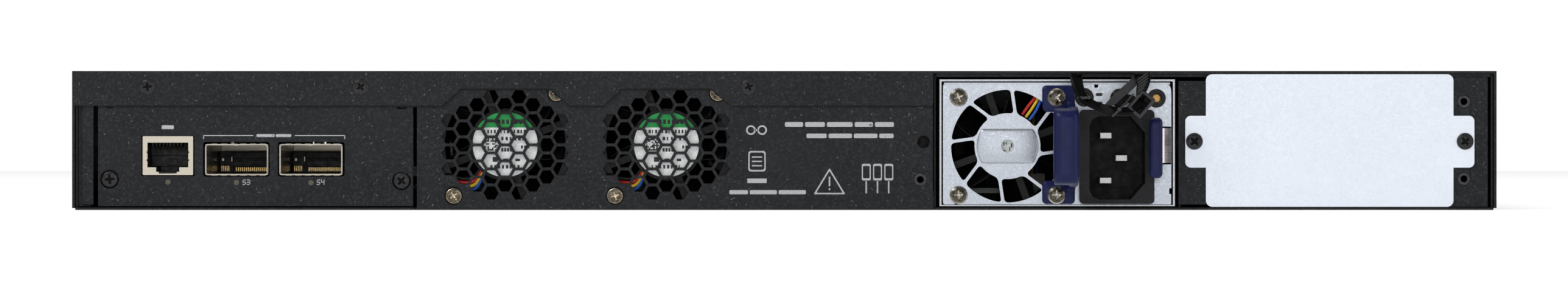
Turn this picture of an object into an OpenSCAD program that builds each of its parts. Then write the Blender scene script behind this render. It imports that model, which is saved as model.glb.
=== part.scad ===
// One-unit rack switch: sheet metal chassis, two system fans, one of two
// hot-swap supply bays filled, the other closed by a blank cover.
// Frame: +X right and +Z up when looking at the rear side, +Y from the
// rear side to the port side. Origin: centre of the flat underside.

/* [Chassis] */
// Outside width across the cover skirts
body_w = 443; // [441:0.5:446]
// Outside height
body_h = 43.3; // [43.1:0.1:44.2]
// Depth from the rear flange to the port panel
body_d = 390; // [380:5:440]
// Thickness of the cover and tray sheet
sheet_t = 0.8; // [0.7:0.05:0.8]
// Thickness of the rear and port panels
panel_t = 1.0; // [0.9:0.05:1.1]

/* [System fans] */
// Outside size of a system fan
fan_size = 38.8; // [38:0.1:38.9]
// Depth of a system fan
fan_depth = 28; // [20:1:28]
// Blades on each system fan
fan_blades = 7; // [5:1:9]
// Hexagon size across flats in the fan grilles
hex_af = 4.1; // [3.6:0.1:4.3]

/* [Power supply] */
// Power supply depth
psu_depth = 185; // [165:5:190]
// How far the handle stands off the face
handle_reach = 22; // [20:0.5:26]

/* [Rack ear holes] */
// Radius of each side hole for a rack ear
ear_hole_r = 1.75; // [1.6:0.05:2.2]
// Spacing of the ear holes front to rear
ear_pitch_y = 25; // [20:1:40]
// Spacing of the ear holes up and down
ear_pitch_z = 20; // [14:1:24]

/* [Hidden] */
$fn = 48;

W2 = body_w / 2;          // half width
YR = -body_d / 2;         // outermost rear sheet face
YF = body_d / 2;          // port panel face
T = sheet_t;
P0 = YR + 0.8;            // rear panels, outer face
P1 = P0 + panel_t;        // rear panels, inner face
SK = 0.8;                 // skirt thickness
WALL = W2 - SK - 0.1;     // outside of the tray wall
FAN_X = [-86.9, -36.7];   // system fan centres
FAN_Z = 20.4;
PF = [69.4, 19.9];        // supply fan centre
PX0 = 48.2; PX1 = 121.55; // supply case sides
PZ0 = 1.1; PZ1 = 40.8;    // supply case bottom and top
PY1 = YR + psu_depth;     // inner end of the supply

// ---- helpers ----
module bx(x0, x1, y0, y1, z0, z1) translate([x0, y0, z0]) cube([x1 - x0, y1 - y0, z1 - z0]);
module cy(x, z, r, y0, y1) translate([x, y0, z]) rotate([-90, 0, 0]) cylinder(r = r, h = y1 - y0);
module cx(y, z, r, x0, x1) translate([x0, y, z]) rotate([0, 90, 0]) cylinder(r = r, h = x1 - x0);
module cz(x, y, r, z0, z1) translate([x, y, z0]) cylinder(r = r, h = z1 - z0);
// a profile drawn in X-Z, made thick from y0 to y1
module xz(y0, y1) translate([0, y1, 0]) rotate([90, 0, 0]) linear_extrude(y1 - y0) children();
// a profile drawn in Y-Z, made thick from x0 to x1
module yz(x0, x1) translate([x0, 0, 0]) rotate([90, 0, 90]) linear_extrude(x1 - x0) children();
module rr(x0, x1, z0, z1, r) {
  translate([x0 + r, z0]) square([x1 - x0 - 2 * r, z1 - z0]);
  translate([x0, z0 + r]) square([x1 - x0, z1 - z0 - 2 * r]);
  for (x = [x0 + r, x1 - r], z = [z0 + r, z1 - r]) translate([x, z]) circle(r = r, $fn = 32);
}
module sq(x0, x1, z0, z1) translate([x0, z0]) square([x1 - x0, z1 - z0]);
// cross-recess pan head screw: head toward -Y, seat at y, shank of length s
module screw(x, z, y, hr, hh, sr, s, turn = 20) difference() {
  union() { cy(x, z, hr, y - hh, y); cy(x, z, sr, y - 0.05, y + s); }
  translate([x, y - hh - 0.1, z]) rotate([0, turn, 0]) {
    translate([-hr * 0.62, 0, -hr * 0.13]) cube([hr * 1.24, hh * 0.75, hr * 0.26]);
    translate([-hr * 0.13, 0, -hr * 0.62]) cube([hr * 0.26, hh * 0.75, hr * 1.24]);
  }
}
// hexagon grille holes around the origin
HEX_COL = [4, 5, 6, 7, 6, 7, 6, 5, 4];
module hexes() for (i = [0:8], j = [0:HEX_COL[i] - 1])
  translate([(i - 4) * 4.33, (j - (HEX_COL[i] - 1) / 2) * 5]) circle(r = hex_af / 2 / cos(30), $fn = 6);

// ---- sheet metal of the chassis ----
EAR_Y = YF - 32; EAR_Z = 21.65;
module ear_holes(x0, x1) for (y = [-0.5, 0.5], z = [-0.5, 0.5])
  cx(EAR_Y + y * ear_pitch_y, EAR_Z + z * ear_pitch_z, ear_hole_r, x0, x1);

module base_tray() color("#26282c") difference() {
  union() {
    bx(-WALL, WALL, P1, YF - panel_t, 0, T);
    bx(-WALL, -115.2, YR + 0.3, P1 + 0.1, 0, T);
    bx(47.2, WALL, YR + 0.3, P1 + 0.1, 0, T);
    for (s = [0, 1]) mirror([s, 0, 0]) bx(-WALL, -WALL + T, YR + 1, YF - panel_t, 0, body_h - T - 0.1);
    // inward lips along the top of both walls carry the cover
    for (s = [0, 1]) mirror([s, 0, 0]) bx(-WALL, -WALL + 9, P1 + 12, YF - panel_t - 6, body_h - 2 * T - 0.1, body_h - T - 0.1);
  }
  ear_holes(-WALL - 1, -WALL + T + 1);
  ear_holes(WALL - T - 1, WALL + 1);
}

module top_cover() color("#26282c") difference() {
  union() {
    bx(-W2, W2, YR, YF - panel_t - 0.05, body_h - T, body_h);
    for (s = [0, 1]) mirror([s, 0, 0]) bx(-W2, -W2 + SK, YR, YF - panel_t - 0.05, 0.6, body_h);
    xz(YR, P0) difference() {
      union() {
        sq(-W2, 45.3, 32.5, body_h);
        sq(45.2, 46.3, 33.5, body_h);
        translate([45.3, 33.5]) circle(r = 1);
      }
      for (d = [0, 50.2]) translate([d, 0]) polygon([[-106.9, 32], [-100.7, 37.8], [-72.8, 37.8], [-66.2, 32]]);
      for (x = [-198, -131.7, -10.95]) translate([x, 38.4]) circle(r = 1.4);
    }
  }
  ear_holes(-W2 - 1, -W2 + SK + 0.05);
  ear_holes(W2 - SK - 0.05, W2 + 1);
}

module corner_strip() color("#26282c") union() {
  bx(-218.5, -214.9, P0, P1, T + 0.9, 41.4);
  bx(-WALL + T, -215.6, P1, P1 + 0.8, T + 0.3, 41.4);
}

module rear_panel() color("#26282c") xz(P0, P1) difference() {
  sq(-114.3, 46.2, 0, 41.4);
  for (x = FAN_X) translate([x, 20.3]) hexes();
  for (x = FAN_X, s = [-1, 1]) translate([x + s * 16, 20.4 + s * 16]) circle(r = 2.87);
  for (x = [-10.95]) translate([x, 38.4]) circle(r = 1.4);
  translate([43.3, 21.2]) circle(r = 1.96);
  translate([42.3, 9.5]) circle(r = 2.05);
  translate([42.4, 33.5]) circle(r = 2.05);
}

module module_plate() color("#26282c") xz(P0, P1) difference() {
  sq(-213.5, -115.5, 1.2, 41.4);
  sq(-200, -183.5, 10.6, 23.1);
  rr(-180.8, -160.1, 10.4, 21.2, 0.8);
  rr(-157.6, -136.8, 10.4, 21.2, 0.8);
  translate([-191.8, 8.7]) circle(r = 1);
  translate([-170.5, 8.6]) circle(r = 1);
  translate([-147.3, 8.5]) circle(r = 1);
  for (p = [[-209.9, 9.6], [-119.1, 9.1], [-209.8, 34.6], [-119, 34.3]]) translate(p) circle(r = 2.9);
  for (x = [-198, -131.7]) translate([x, 38.4]) circle(r = 1.4);
}

// sheet wall between the electronics and the supply bays
module bay_side_wall() color("#8d9196") union() {
  bx(46.4, 47.2, P1 + 0.05, PY1 + 4, T, body_h - T - 0.15);
  bx(38.8, 46.4, P1 + 0.05, P1 + 0.85, T, 6);
}
module bay_divider() color("#26282c") difference() {
  union() {
    bx(122.6, 123.4, P1 - 0.1, PY1 + 4, T, 40.2);
    bx(122.6, 133, P0, P1, T + 0.9, 40.2);
  }
  cy(127.5, 21.4, 1.4, P0 - 1, P1 + 1);
}
module bay_end_plate() color("#26282c") xz(P0, P1) difference() {
  sq(205.5, 218.9, T + 0.05, 41.4);
  for (z = [33.8, 9.7]) translate([211.45, z]) circle(r = 2.05);
  translate([211.7, 21.4]) circle(r = 1.4);
}
module bay_top_lip() color("#26282c") union() {
  bx(47.3, 219.6, P0, P1, 41.45, body_h - T);
  bx(47.3, 219.6, P1, P1 + 8, body_h - 2 * T, body_h - T - 0.02);
}
module blank_cover() color("#d4dde6") xz(YR, P0) difference() {
  union() {
    rr(131.1, 208.1, 1.0, 42.3, 2);
    rr(124.7, 214.6, 13.2, 29.35, 1.7);
  }
  for (x = [127.5, 211.7]) translate([x, 21.4]) circle(r = 1.6);
}

// ---- fasteners ----
module blank_cover_screws() color("#17181a") for (x = [127.5, 211.7]) screw(x, 21.4, YR, 2.6, 1.1, 1.35, 1.75, 12);
module cover_screws() color("#17181a") for (x = [-198, -131.7, -10.95]) screw(x, 38.4, YR, 2.4, 0.8, 1.35, 5, 40);
// flush heads lie in openings of the plate and clamp its bracket behind
module module_screws() color("#17181a") {
  for (p = [[-209.9, 9.6], [-119.1, 9.1]]) screw(p[0], p[1], P1 - 0.15, 2.6, 1.0, 1.3, 6, 30);
  for (p = [[-209.8, 34.6], [-119, 34.3]]) screw(p[0], p[1], P1 - 0.15, 2.6, 0.8, 1.3, 6, 30);
}
module fan_screws() color("#b9a777") for (x = FAN_X, s = [-1, 1])
  screw(x + s * 16, 20.4 + s * 16, P1 - 0.15, 2.6, 0.8, 1.55, 8, 25);
module threaded_inserts() color("#1d1e20") for (p = [[42.3, 9.5], [42.4, 33.5], [211.45, 33.8], [211.45, 9.7]])
  difference() {
    union() {
      cy(p[0], p[1], 2.0, P0 + 0.1, P1);
      cy(p[0], p[1], 2.8, P1, P1 + 3.5);
    }
    cy(p[0], p[1], 1.05, P0 - 1, P1 + 5);
  }

// ---- port panel (+Y side), drawn as seen from outside ----
BLK_X = [191, 103.5, 16, -71.5];     // +X edge of each block of 2 x 6 jacks
PITCH = 14; BLK_W = 6 * PITCH + 1.2; // jack pitch and block width
JZ0 = 8; JZ1 = 34; JD = 26;          // jack block bottom, top, depth
SFP_X0 = -202; SFP_P = 15.4; SFP_Z0 = 9; SFP_H = 10.6; SFP_D = 48;
CON_X0 = -219;
BTN = [200, 14];
module front_panel() color("#26282c") difference() {
  xz(YF - panel_t, YF) difference() {
    sq(-W2, W2, 0, body_h);
    for (x = BLK_X) sq(x - BLK_W - 0.2, x + 0.2, JZ0 - 0.2, JZ1 + 0.2);
    sq(SFP_X0 - 0.2, SFP_X0 + 2 * SFP_P + 1, SFP_Z0 - 0.2, SFP_Z0 + 2 * SFP_H + 1);
    sq(199.5, 216.5, 19.5, 34.5);
    translate(BTN) circle(r = 1.6);
    for (i = [0:3]) translate([205 + i * 3.6, 14]) circle(r = 0.9);
    // air slots above the jacks
    for (i = [0:51]) translate([-204.5 + i * 8, 37.6]) rr(-2.9, 2.9, 0, 2.6, 1.29);
  }
}
module jack_grid(x1, n, p, z0, h, d, t) {
  // three shelves, upright walls in two rows and a back, one plate each
  x0 = x1 - n * p - t;
  for (k = [0:2]) bx(x0, x1, YF - d, YF + 0.3, z0 + k * h, z0 + k * h + t);
  for (k = [0, 1], i = [0:n]) bx(x0 + i * p, x0 + i * p + t, YF - d, YF + 0.3, z0 + k * h + t + 0.03, z0 + (k + 1) * h - 0.03);
}
module port_shields() color("#b9bcc0") for (x = BLK_X) jack_grid(x, 6, PITCH, JZ0, 12.7, JD, 0.5);
module port_inserts() color("#111214") for (x = BLK_X, k = [0, 1], i = [0:5])
  bx(x - 0.5 - (i + 1) * PITCH + 0.6, x - i * PITCH - 0.6, YF - JD, YF - 11, JZ0 + 0.6 + k * 12.7, JZ0 + 12.6 + k * 12.7);
module sfp_cages() color("#c3c6ca") jack_grid(SFP_X0 + 2 * SFP_P + 0.5, 2, SFP_P, SFP_Z0, SFP_H, SFP_D, 0.5);
module sfp_connectors() color("#141517") for (k = [0, 1], i = [0, 1])
  bx(SFP_X0 + 1.6 + i * SFP_P, SFP_X0 + SFP_P - 0.9 + i * SFP_P, YF - SFP_D, YF - SFP_D + 8, SFP_Z0 + 0.6 + k * SFP_H, SFP_Z0 + 6.5 + k * SFP_H);
module console_jack() color("#b9bcc0") {
  bx(200, 216, YF - 18, YF + 0.3, 20, 20.5);
  bx(200, 216, YF - 18, YF + 0.3, 33.5, 34);
  for (x = [200, 215.5]) bx(x, x + 0.5, YF - 18, YF + 0.3, 20.53, 33.47);
  bx(200.55, 215.45, YF - 18, YF - 11, 20.55, 33.45);
}
module front_light_pipes() color("#e6efe2") for (i = [0:3]) cy(205 + i * 3.6, 14, 0.85, YF - 9, YF);
module front_button() color("#3a3c40") union() {
  cy(BTN[0], BTN[1], 1.25, YF - 6, YF - 0.2);
  cy(BTN[0], BTN[1], 2.2, YF - 7.4, YF - 6);
}

// ---- electronics ----
MB_Z = 5.8; MB_T = 1.6;
module mainboard() color("#1c5a3a") difference() {
  union() {
    bx(-214, 214, 14, YF - 3, MB_Z, MB_Z + MB_T);
    bx(-214, 40, -118, 14.1, MB_Z, MB_Z + MB_T);
    bx(-114, 40, -158, -117.9, MB_Z, MB_Z + MB_T);
  }
  for (p = MB_HOLES) cz(p[0], p[1], 1.6, 0, 20);
}
MB_HOLES = [[-208, -112], [34, -112], [-208, 20], [-90, 20], [34, 20], [208, 20], [-206, YF - 60], [208, YF - 60], [0, YF - 60]];
module board_standoffs() color("#c9b36a") for (p = MB_HOLES) union() {
  translate([p[0], p[1], T]) cylinder(r = 2.9, h = MB_Z - T, $fn = 6);
  cz(p[0], p[1], 1.5, MB_Z, MB_Z + MB_T);
  cz(p[0], p[1], 2.7, MB_Z + MB_T, MB_Z + MB_T + 1.8);
}
module finned(x0, x1, y0, y1, z0, z1, n, t) union() {
  bx(x0, x1, y0, y1, z0, z0 + 3.5);
  for (i = [0:n - 1]) bx(x0 + i * (x1 - x0 - t) / (n - 1), x0 + i * (x1 - x0 - t) / (n - 1) + t, y0, y1, z0 + 3.4, z1);
}
module chip_heatsink() color("#a9adb2") finned(-46, 14, 46, 106, MB_Z + MB_T + 3, 36, 19, 1.1);
module cpu_heatsink() color("#a9adb2") finned(-150, -110, -60, -20, MB_Z + MB_T + 2.4, 30, 13, 1.1);
CHIPS = [[-16, 76, 40, 40, 3], [-130, -40, 27, 27, 2.4], [-175, -50, 12, 18, 1.2], [-175, -25, 12, 18, 1.2],
  [-80, -45, 20, 20, 1.6], [90, 120, 22, 22, 1.8], [165, 120, 22, 22, 1.8], [-110, 120, 22, 22, 1.8], [-60, 20, 10, 10, 1.2],
  [60, 60, 14, 14, 4.5], [85, 60, 14, 14, 4.5], [110, 60, 14, 14, 4.5], [140, 60, 8, 8, 3]];
module board_chips() color("#202225") for (c = CHIPS)
  bx(c[0] - c[2] / 2, c[0] + c[2] / 2, c[1] - c[3] / 2, c[1] + c[3] / 2, MB_Z + MB_T, MB_Z + MB_T + c[4]);
module module_board() color("#1c5a3a") bx(-206, -122.5, P1 + 3, P1 + 71, 8.0, 9.6);

module jack_shield() color("#c9c2ad") difference() {
  bx(-199.6, -183.9, P0 - 0.3, P1 + 16, 10.9, 23.0);
  bx(-199.1, -184.4, P0 - 0.02, P1 + 15.5, 11.3, 22.6);
  // stepped mouth for the plug and its latch
  bx(-198.1, -185.4, P0 - 1, P0 + 0.1, 13.3, 21);
  bx(-195.4, -188.2, P0 - 1, P0 + 0.1, 11.9, 14);
  bx(-194.6, -189, P0 - 1, P0 + 0.1, 11.35, 12.5);
}
module jack_insert() color("#141517") difference() {
  bx(-199.05, -184.45, P0, P1 + 15.4, 11.35, 22.55);
  bx(-198.1, -185.4, P0 - 1, P1 + 11.5, 13.3, 21);
  bx(-195.3, -188.1, P0 - 1, P1 + 11.5, 11.9, 14);
}
module jack_contacts() color("#d6b24e") for (i = [0:7]) union() {
  translate([-195.5 + i * 1.02, P1 + 2, 20.4]) rotate([-13, 0, 0]) cube([0.4, 7.6, 0.3]);
  bx(-195.5 + i * 1.02, -195.1 + i * 1.02, P1 + 1.2, P1 + 2.4, 20.4, 20.75);
}
QX = [-180.1, -157.0];
module qsfp_cages() color("#b4b1aa") for (x = QX) difference() {
  bx(x, x + 19.5, P0 - 0.35, P0 + 52, 10.9, 20.5);
  bx(x + 0.4, x + 19.1, P0 - 1, P0 + 51.6, 11.3, 20.1);
}
module qsfp_connectors() color("#1b1a18") for (x = QX) difference() {
  bx(x + 1, x + 18.5, P0 + 40, P0 + 51.5, 11.4, 18.2);
  bx(x + 2, x + 17.5, P0 + 39, P0 + 48, 13.7, 15.6);
}
module rear_light_pipes() color("#c8b060") {
  cy(-191.8, 8.7, 0.9, P0 + 0.3, P0 + 3.8);
  cy(-170.5, 8.6, 0.9, P0 + 0.3, P0 + 3.8);
  cy(-147.3, 8.5, 0.9, P0 + 0.3, P0 + 3.8);
}

// ---- swept leads ----
function unit(v) = v / norm(v);
function bez(a, b, c, n = 5) = [for (i = [0:n]) let (t = i / n) (1 - t) * (1 - t) * a + 2 * t * (1 - t) * b + t * t * c];
module tube(p, r, s = 8) {
  n = len(p);
  ref = unit([0.48, 0.61, -0.63]);
  tan = [for (i = [0:n - 1]) unit(p[min(i + 1, n - 1)] - p[max(i - 1, 0)])];
  pts = [for (i = [0:n - 1]) let (u = unit(cross(ref, tan[i])), v = cross(tan[i], u))
    for (k = [0:s - 1]) p[i] + r * (cos(k * 360 / s) * u + sin(k * 360 / s) * v)];
  polyhedron(points = pts, faces = concat(
    [for (i = [0:n - 2], k = [0:s - 1]) [i * s + k, (i + 1) * s + k, (i + 1) * s + (k + 1) % s, i * s + (k + 1) % s]],
    [[for (k = [0:s - 1]) k]], [[for (k = [s - 1:-1:0]) (n - 1) * s + k]]), convexity = 6);
}

// ---- axial fan: square frame, struts and motor base toward -Y ----
module fan_frame(x, z, s, y0, d, rb, rh, hp, slot = true) difference() {
  union() {
    difference() {
      union() {
        xz(y0, y0 + 3.6) rr(x - s / 2, x + s / 2, z - s / 2, z + s / 2, 2.4);
        xz(y0 + d - 3.6, y0 + d) rr(x - s / 2, x + s / 2, z - s / 2, z + s / 2, 2.4);
        cy(x, z, s / 2 - 0.02, y0, y0 + d);
      }
      cy(x, z, rb, y0 - 1, y0 + d + 1);
      for (a = [-hp, hp], b = [-hp, hp]) cy(x + a, z + b, 1.75, y0 - 1, y0 + d + 1);
    }
    cy(x, z, rh, y0 + 0.6, y0 + 3.4);
    cy(x, z, 3, y0 + 3.3, y0 + d * 0.55);
    cy(x, z, rh * 0.72, y0 + 6, y0 + d * 0.5);
    for (a = [20, 110, 200, 290]) translate([x, 0, z]) rotate([0, -a, 0])
      bx(rh - 0.5, rb + 0.3, y0 + 0.8, y0 + 3.0, -1.1, 1.1);
  }
  cy(x, z, 1.55, y0 + 1.6, y0 + d);
  if (slot) bx(x - s / 2 - 1, x - s / 2 + 7.4, y0 - 0.5, y0 + 3.2, z - 13.85, z - 8.9);
}
module fan_rotor(x, z, y0, d, rr_, rh, n) {
  difference() {
    union() {
      cy(x, z, rh, y0 + 4.2, y0 + d - 3);
      intersection() {
        cy(x, z, rr_, y0 + 4.2, y0 + d - 1.5);
        for (k = [0:n - 1]) translate([x, y0 + 4.2 + (d - 6) / 2, z]) rotate([0, k * 360 / n, 0])
          rotate([38, 0, 0]) translate([rh - 1, -d * 0.36, -0.5]) cube([rr_ - rh + 2, d * 0.72, 1.0]);
      }
    }
    cy(x, z, rh - 1, y0 + 3, y0 + d - 4.5);
  }
  cy(x, z, 1.5, y0 + 2, y0 + d - 4.45);
}
FY = P1 + 0.05;
RB = fan_size / 2 - 0.6;
module fan_1_frame() color("#1a1b1d") fan_frame(FAN_X[0], FAN_Z, fan_size, FY, fan_depth, RB, 11.2, 16);
module fan_2_frame() color("#1a1b1d") fan_frame(FAN_X[1], FAN_Z, fan_size, FY, fan_depth, RB, 11.2, 16);
module fan_1_rotor() color("#202124") fan_rotor(FAN_X[0], FAN_Z, FY, fan_depth, RB - 0.6, 11, fan_blades);
module fan_2_rotor() color("#202124") fan_rotor(FAN_X[1], FAN_Z, FY, fan_depth, RB - 0.6, 11, fan_blades);
module fan_labels() color("#e8ebe8") for (x = FAN_X) cy(x, FAN_Z, 10.3, FY + 0.45, FY + 0.6);
// four leads cross to the frame's left side, run forward and drop to the board
module leads(x, z) {
  for (i = [0:3]) {
    a = [x - 7.6 - i * 0.35, FY + 1.6, z - 9.3 + i * 0.55];
    b = [x - 10.2, FY + 1.6, z - 13.2 + i * 1.2];
    c = [x - 20.6, FY + 1.6, z - 13.2 + i * 1.2];
    e = [x - 20.6, FY + fan_depth + 13 + i * 1.3, z - 5 + i * 1.2];
    tube(concat([a], bez(a + (b - a) * 0.6, b, b + (c - b) * 0.3, 3), bez(c + [3, 0, 0], c, c + [0, 4, 0.6], 4),
      [(c + e) / 2], bez(e - [0, 3, 0.6], e, e - [0, -0.4, 2.4], 3), [[e[0], e[1] + 0.4, MB_Z + MB_T + 4.6]]), 0.5);
  }
  bx(x - 25, x - 16.5, FY + fan_depth + 13.6, FY + fan_depth + 22, MB_Z + MB_T, MB_Z + MB_T + 4.6);
}
module fan_1_leads() color("#c9a63a") leads(FAN_X[0], FAN_Z);
module fan_2_leads() color("#c9a63a") leads(FAN_X[1], FAN_Z);

// ---- hot-swap power supply ----
PCX = (PX0 + PX1) / 2;
BAY2 = 171;
module power_backplane() color("#1c5a3a") union() {
  bx(48.5, 217, PY1 + 11, PY1 + 12.6, 1.2, 38);
  for (c = [PCX, BAY2]) difference() {
    bx(c - 25.5, c + 25.5, PY1 + 2, PY1 + 11.1, 2, 11.5);
    bx(c - 22.4, c + 22.4, PY1 + 1, PY1 + 10, 4.5, 7.1);
  }
}
module psu_case() color("#b9bdc2") difference() {
  union() {
    bx(PX0, PX1, YR + 0.4, PY1, PZ0, PZ1);
  }
  bx(PX0 + 0.8, PX1 - 0.8, YR - 1, PY1 - 0.8, PZ0 + 0.6, PZ1 - 0.8);
  bx(PX1 - 1, PX1 + 1, YR + 11, YR + 23, 16.5, 23.7);
  bx(PCX - 22, PCX + 22, PY1 - 2, PY1 + 1, 4.4, 7.2);
  for (i = [0:9], k = [0:3]) cy(PX0 + 12 + i * 5.5, 14 + k * 6, 1.9, PY1 - 2, PY1 + 1);
}
SPOKES = [for (k = [0:7]) 76 + 45 * k];
// one guard opening: two arcs, two swept sides and four rounded corners
function pol(r, a) = [r * cos(a), r * sin(a)];
function guard_slot(a, ri = 10.25, ro = 17.55, s = 9.5) = let (
    di = 0.52 / ri * 57.2958, dq = 0.52 / ro * 57.2958, b = a + 45,
    p1 = pol(ri, a + di), p2 = pol(ri, b - di), p3 = pol(ro, b + s - dq), p4 = pol(ro, a + s + dq),
    fi = 1.5, fo = 1.15, gi = fi / ri * 57.2958, go = fo / ro * 57.2958)
  concat([for (i = [0:4]) pol(ri, a + di + gi + (45 - 2 * di - 2 * gi) * i / 4)],
    corner(pol(ri, b - di - gi), p2, p2 + unit(p3 - p2) * fi), corner(p3 + unit(p2 - p3) * fo, p3, pol(ro, b + s - dq - go)),
    [for (i = [1:5]) pol(ro, b + s - dq - go - (45 - 2 * dq - 2 * go) * i / 6)],
    corner(pol(ro, a + s + dq + go), p4, p4 + unit(p1 - p4) * fo), corner(p1 + unit(p4 - p1) * fi, p1, pol(ri, a + di + gi), 1));
function corner(a, b, c, cut = 0) = [for (i = [(cut == 0 && norm(a) < 10.3) ? 1 : 0 : 3 - cut]) let (t = i / 3) (1 - t) * (1 - t) * a + 2 * t * (1 - t) * b + t * t * c];
module psu_face() color("#c8cdd4") difference() {
  union() {
    xz(YR, YR + 0.8) sq(49.35, 120.15, PZ0 + 0.65, 39.1);
    xz(YR - 0.45, YR + 0.05) intersection() {
      translate(PF) circle(r = 9.45);
      translate([PF[0] - 9.45, PF[1] - 5.3]) square([18.9, 10.6]);
    }
    // fold that ties the face to the case roof
    bx(49.35, 120.15, YR + 0.4, YR + 8, 39.05, PZ1 - 0.85);
  }
  xz(YR - 1, YR + 1) for (a = SPOKES) translate(PF) polygon(guard_slot(a));
  cy(PF[0], PF[1], 2, YR - 1, YR + 1);
  for (p = FACE_SCREWS) cy(p[0], p[1], 1.75, YR - 1, YR + 1);
  bx(93.2, 113.6, YR - 1, YR + 1, 2.2, 30.4);
  bx(116.6, 120.6, YR - 1, YR + 1, 14.2, 26);
  for (p = [[93.3, 35.1], [115.7, 34.8]]) cy(p[0], p[1], 2.2, YR - 1, YR + 1);
  cy(104.2, 34.9, 2.0, YR - 1, YR + 1);
}
FACE_SCREWS = [for (a = [-15.2, 15.2], b = [15.2, -15.2]) [PF[0] + a, PF[1] + b]];
module psu_screws() color("#c9ccd0") {
  for (p = [FACE_SCREWS[0], FACE_SCREWS[1]]) screw(p[0], p[1], YR, 2.8, 1.5, 1.6, 7, 25);
  for (p = [FACE_SCREWS[2], FACE_SCREWS[3]]) screw(p[0], p[1], YR - 1.6, 2.8, 1.5, 1.6, 8.6, 25);
}
HR = YR - handle_reach;
module psu_handle() color("#23285c") union() {
  for (z = [[30.5, 38.8], [1.9, 9.2]]) difference() {
    xz(YR - 1.6, YR) rr(80.2, 90.3, z[0], z[1], 1.2);
    for (p = [FACE_SCREWS[2], FACE_SCREWS[3]]) cy(p[0], p[1], 1.75, YR - 3, YR + 1);
  }
  yz(87.9, 90.6) difference() {
    polygon([[YR - 0.5, 33.2], [YR - 6, 31.9], [YR - 12, 31.9], [YR - 12, 7.7], [YR - 6, 7.7], [YR - 0.5, 6.4]]);
    polygon([[YR + 1, 30.6], [YR - 6, 29.4], [YR - 13, 29.4], [YR - 13, 10.2], [YR - 6, 10.2], [YR + 1, 9]]);
  }
  yz(82.8, 90.9) difference() {
    polygon([[YR - 10.5, 31.9], [HR + 3.5, 31.4], [HR + 0.8, 29.6], [HR, 27], [HR, 12.6], [HR + 0.8, 10], [HR + 3.5, 8.2], [YR - 10.5, 7.7]]);
    polygon([[YR - 9, 29.4], [YR - 13, 29.2], [YR - 15.2, 27.4], [YR - 15.8, 25.4], [YR - 15.8, 14.2], [YR - 15.2, 12.2], [YR - 13, 10.4], [YR - 9, 10.2]]);
  }
}
module psu_inlet() color("#121315") difference() {
  union() {
    xz(YR - 2.6, YR) rr(91.7, 114.95, 1.9, 31.2, 1.4);
    bx(93.5, 113.3, YR - 0.1, YR + 17, 2.4, 30.2);
  }
  xz(YR - 4, YR + 15) polygon([[97.8, 3.3], [107.6, 3.3], [112.1, 8.5], [112.1, 24], [107.6, 29.2], [97.8, 29.2], [95.7, 28.3], [94.8, 26.2], [94.8, 6.3], [95.7, 4.2]]);
  for (p = INLET_PINS) bx(p[0] - 2.02, p[0] + 2.02, YR + 10, YR + 20, p[1] - 1.02, p[1] + 1.02);
}
INLET_PINS = [[100, 23.2], [104.9, 16.2], [99.9, 9.2]];
module psu_inlet_pins() color("#b8bcc2") for (p = INLET_PINS)
  bx(p[0] - 2, p[0] + 2, YR + 0.5, YR + 22, p[1] - 1, p[1] + 1);
module psu_bezels() color("#151618") for (p = [[93.3, 35.1], [115.7, 34.8]]) difference() {
  union() { cy(p[0], p[1], 2.9, YR - 1, YR); cy(p[0], p[1], 2.15, YR - 0.1, YR + 3.5); }
  cy(p[0], p[1], 1.4, YR - 2, YR + 4);
}
module psu_lens() color("#d08a28") for (p = [[93.3, 35.1], [115.7, 34.8]]) cy(p[0], p[1], 1.35, YR - 0.7, YR + 3);
module psu_board() color("#1c5a3a") union() {
  bx(50.5, 119, YR + 34, PY1 - 2, 5, 6.6);
  bx(PCX - 21.4, PCX + 21.4, PY1 - 2.1, PY1 + 9, 5, 6.6);
}
module psu_components() color("#8c7a3c") {
  bx(56, 88, YR + 90, YR + 122, 6.6, 32);
  translate([100, YR + 48, 20]) rotate([-90, 0, 0]) cylinder(r = 12.5, h = 34);
  bx(86, 114, YR + 46, YR + 84, 6.6, 7.5);
  bx(54, 57, YR + 42, YR + 84, 6.6, 34);
  bx(104, 107, YR + 96, YR + 150, 6.6, 34);
  bx(64, 82, YR + 44, YR + 70, 6.6, 26);
  for (i = [0:4]) cz(60 + i * 9.5, YR + 142, 4, 6.6, 26);
  bx(93, 100, YR + 100, YR + 112, 6.6, 20);
}
PFY = YR + 0.85;
module psu_fan_frame() color("#1a1b1d") difference() {
  fan_frame(PF[0], PF[1], 36.2, PFY, 28, 17.6, 9.6, 15.2, false);
  bx(PF[0] + 6.4, PF[0] + 11.2, PFY - 1, PFY + 3.8, PF[1] + 13, PF[1] + 19);
}
module psu_fan_rotor() color("#202124") fan_rotor(PF[0], PF[1], PFY, 28, 17.1, 9.4, 5);
module psu_fan_leads() color("#b23327") { bx(74.5, 82.5, YR + 36, YR + 41, 6.6, 11.2); for (i = [0:2]) {
  a = [PF[0] + 4.9 + i * 1.0, PFY + 1.7, PF[1] + 8.6 - i * 0.7];
  b = [PF[0] + 7.4 + i * 1.3, PFY + 1.7, PF[1] + 15];
  c = [b[0], PFY + 2.2, PF[1] + 18.68];
  e = [b[0], YR + 38.5, PF[1] + 18.68];
  tube(concat([a], bez(a + (b - a) * 0.6, b, b + [0, 0, 1.4], 3), bez(c - [0, 0, 1.5], c, c + [0, 2.5, 0], 4),
    [(c + e) / 2], bez(e - [0, 4, 0], e, e - [0, 0, 4], 4), [[e[0], e[1], 11.2]]), 0.42);
} }

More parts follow.
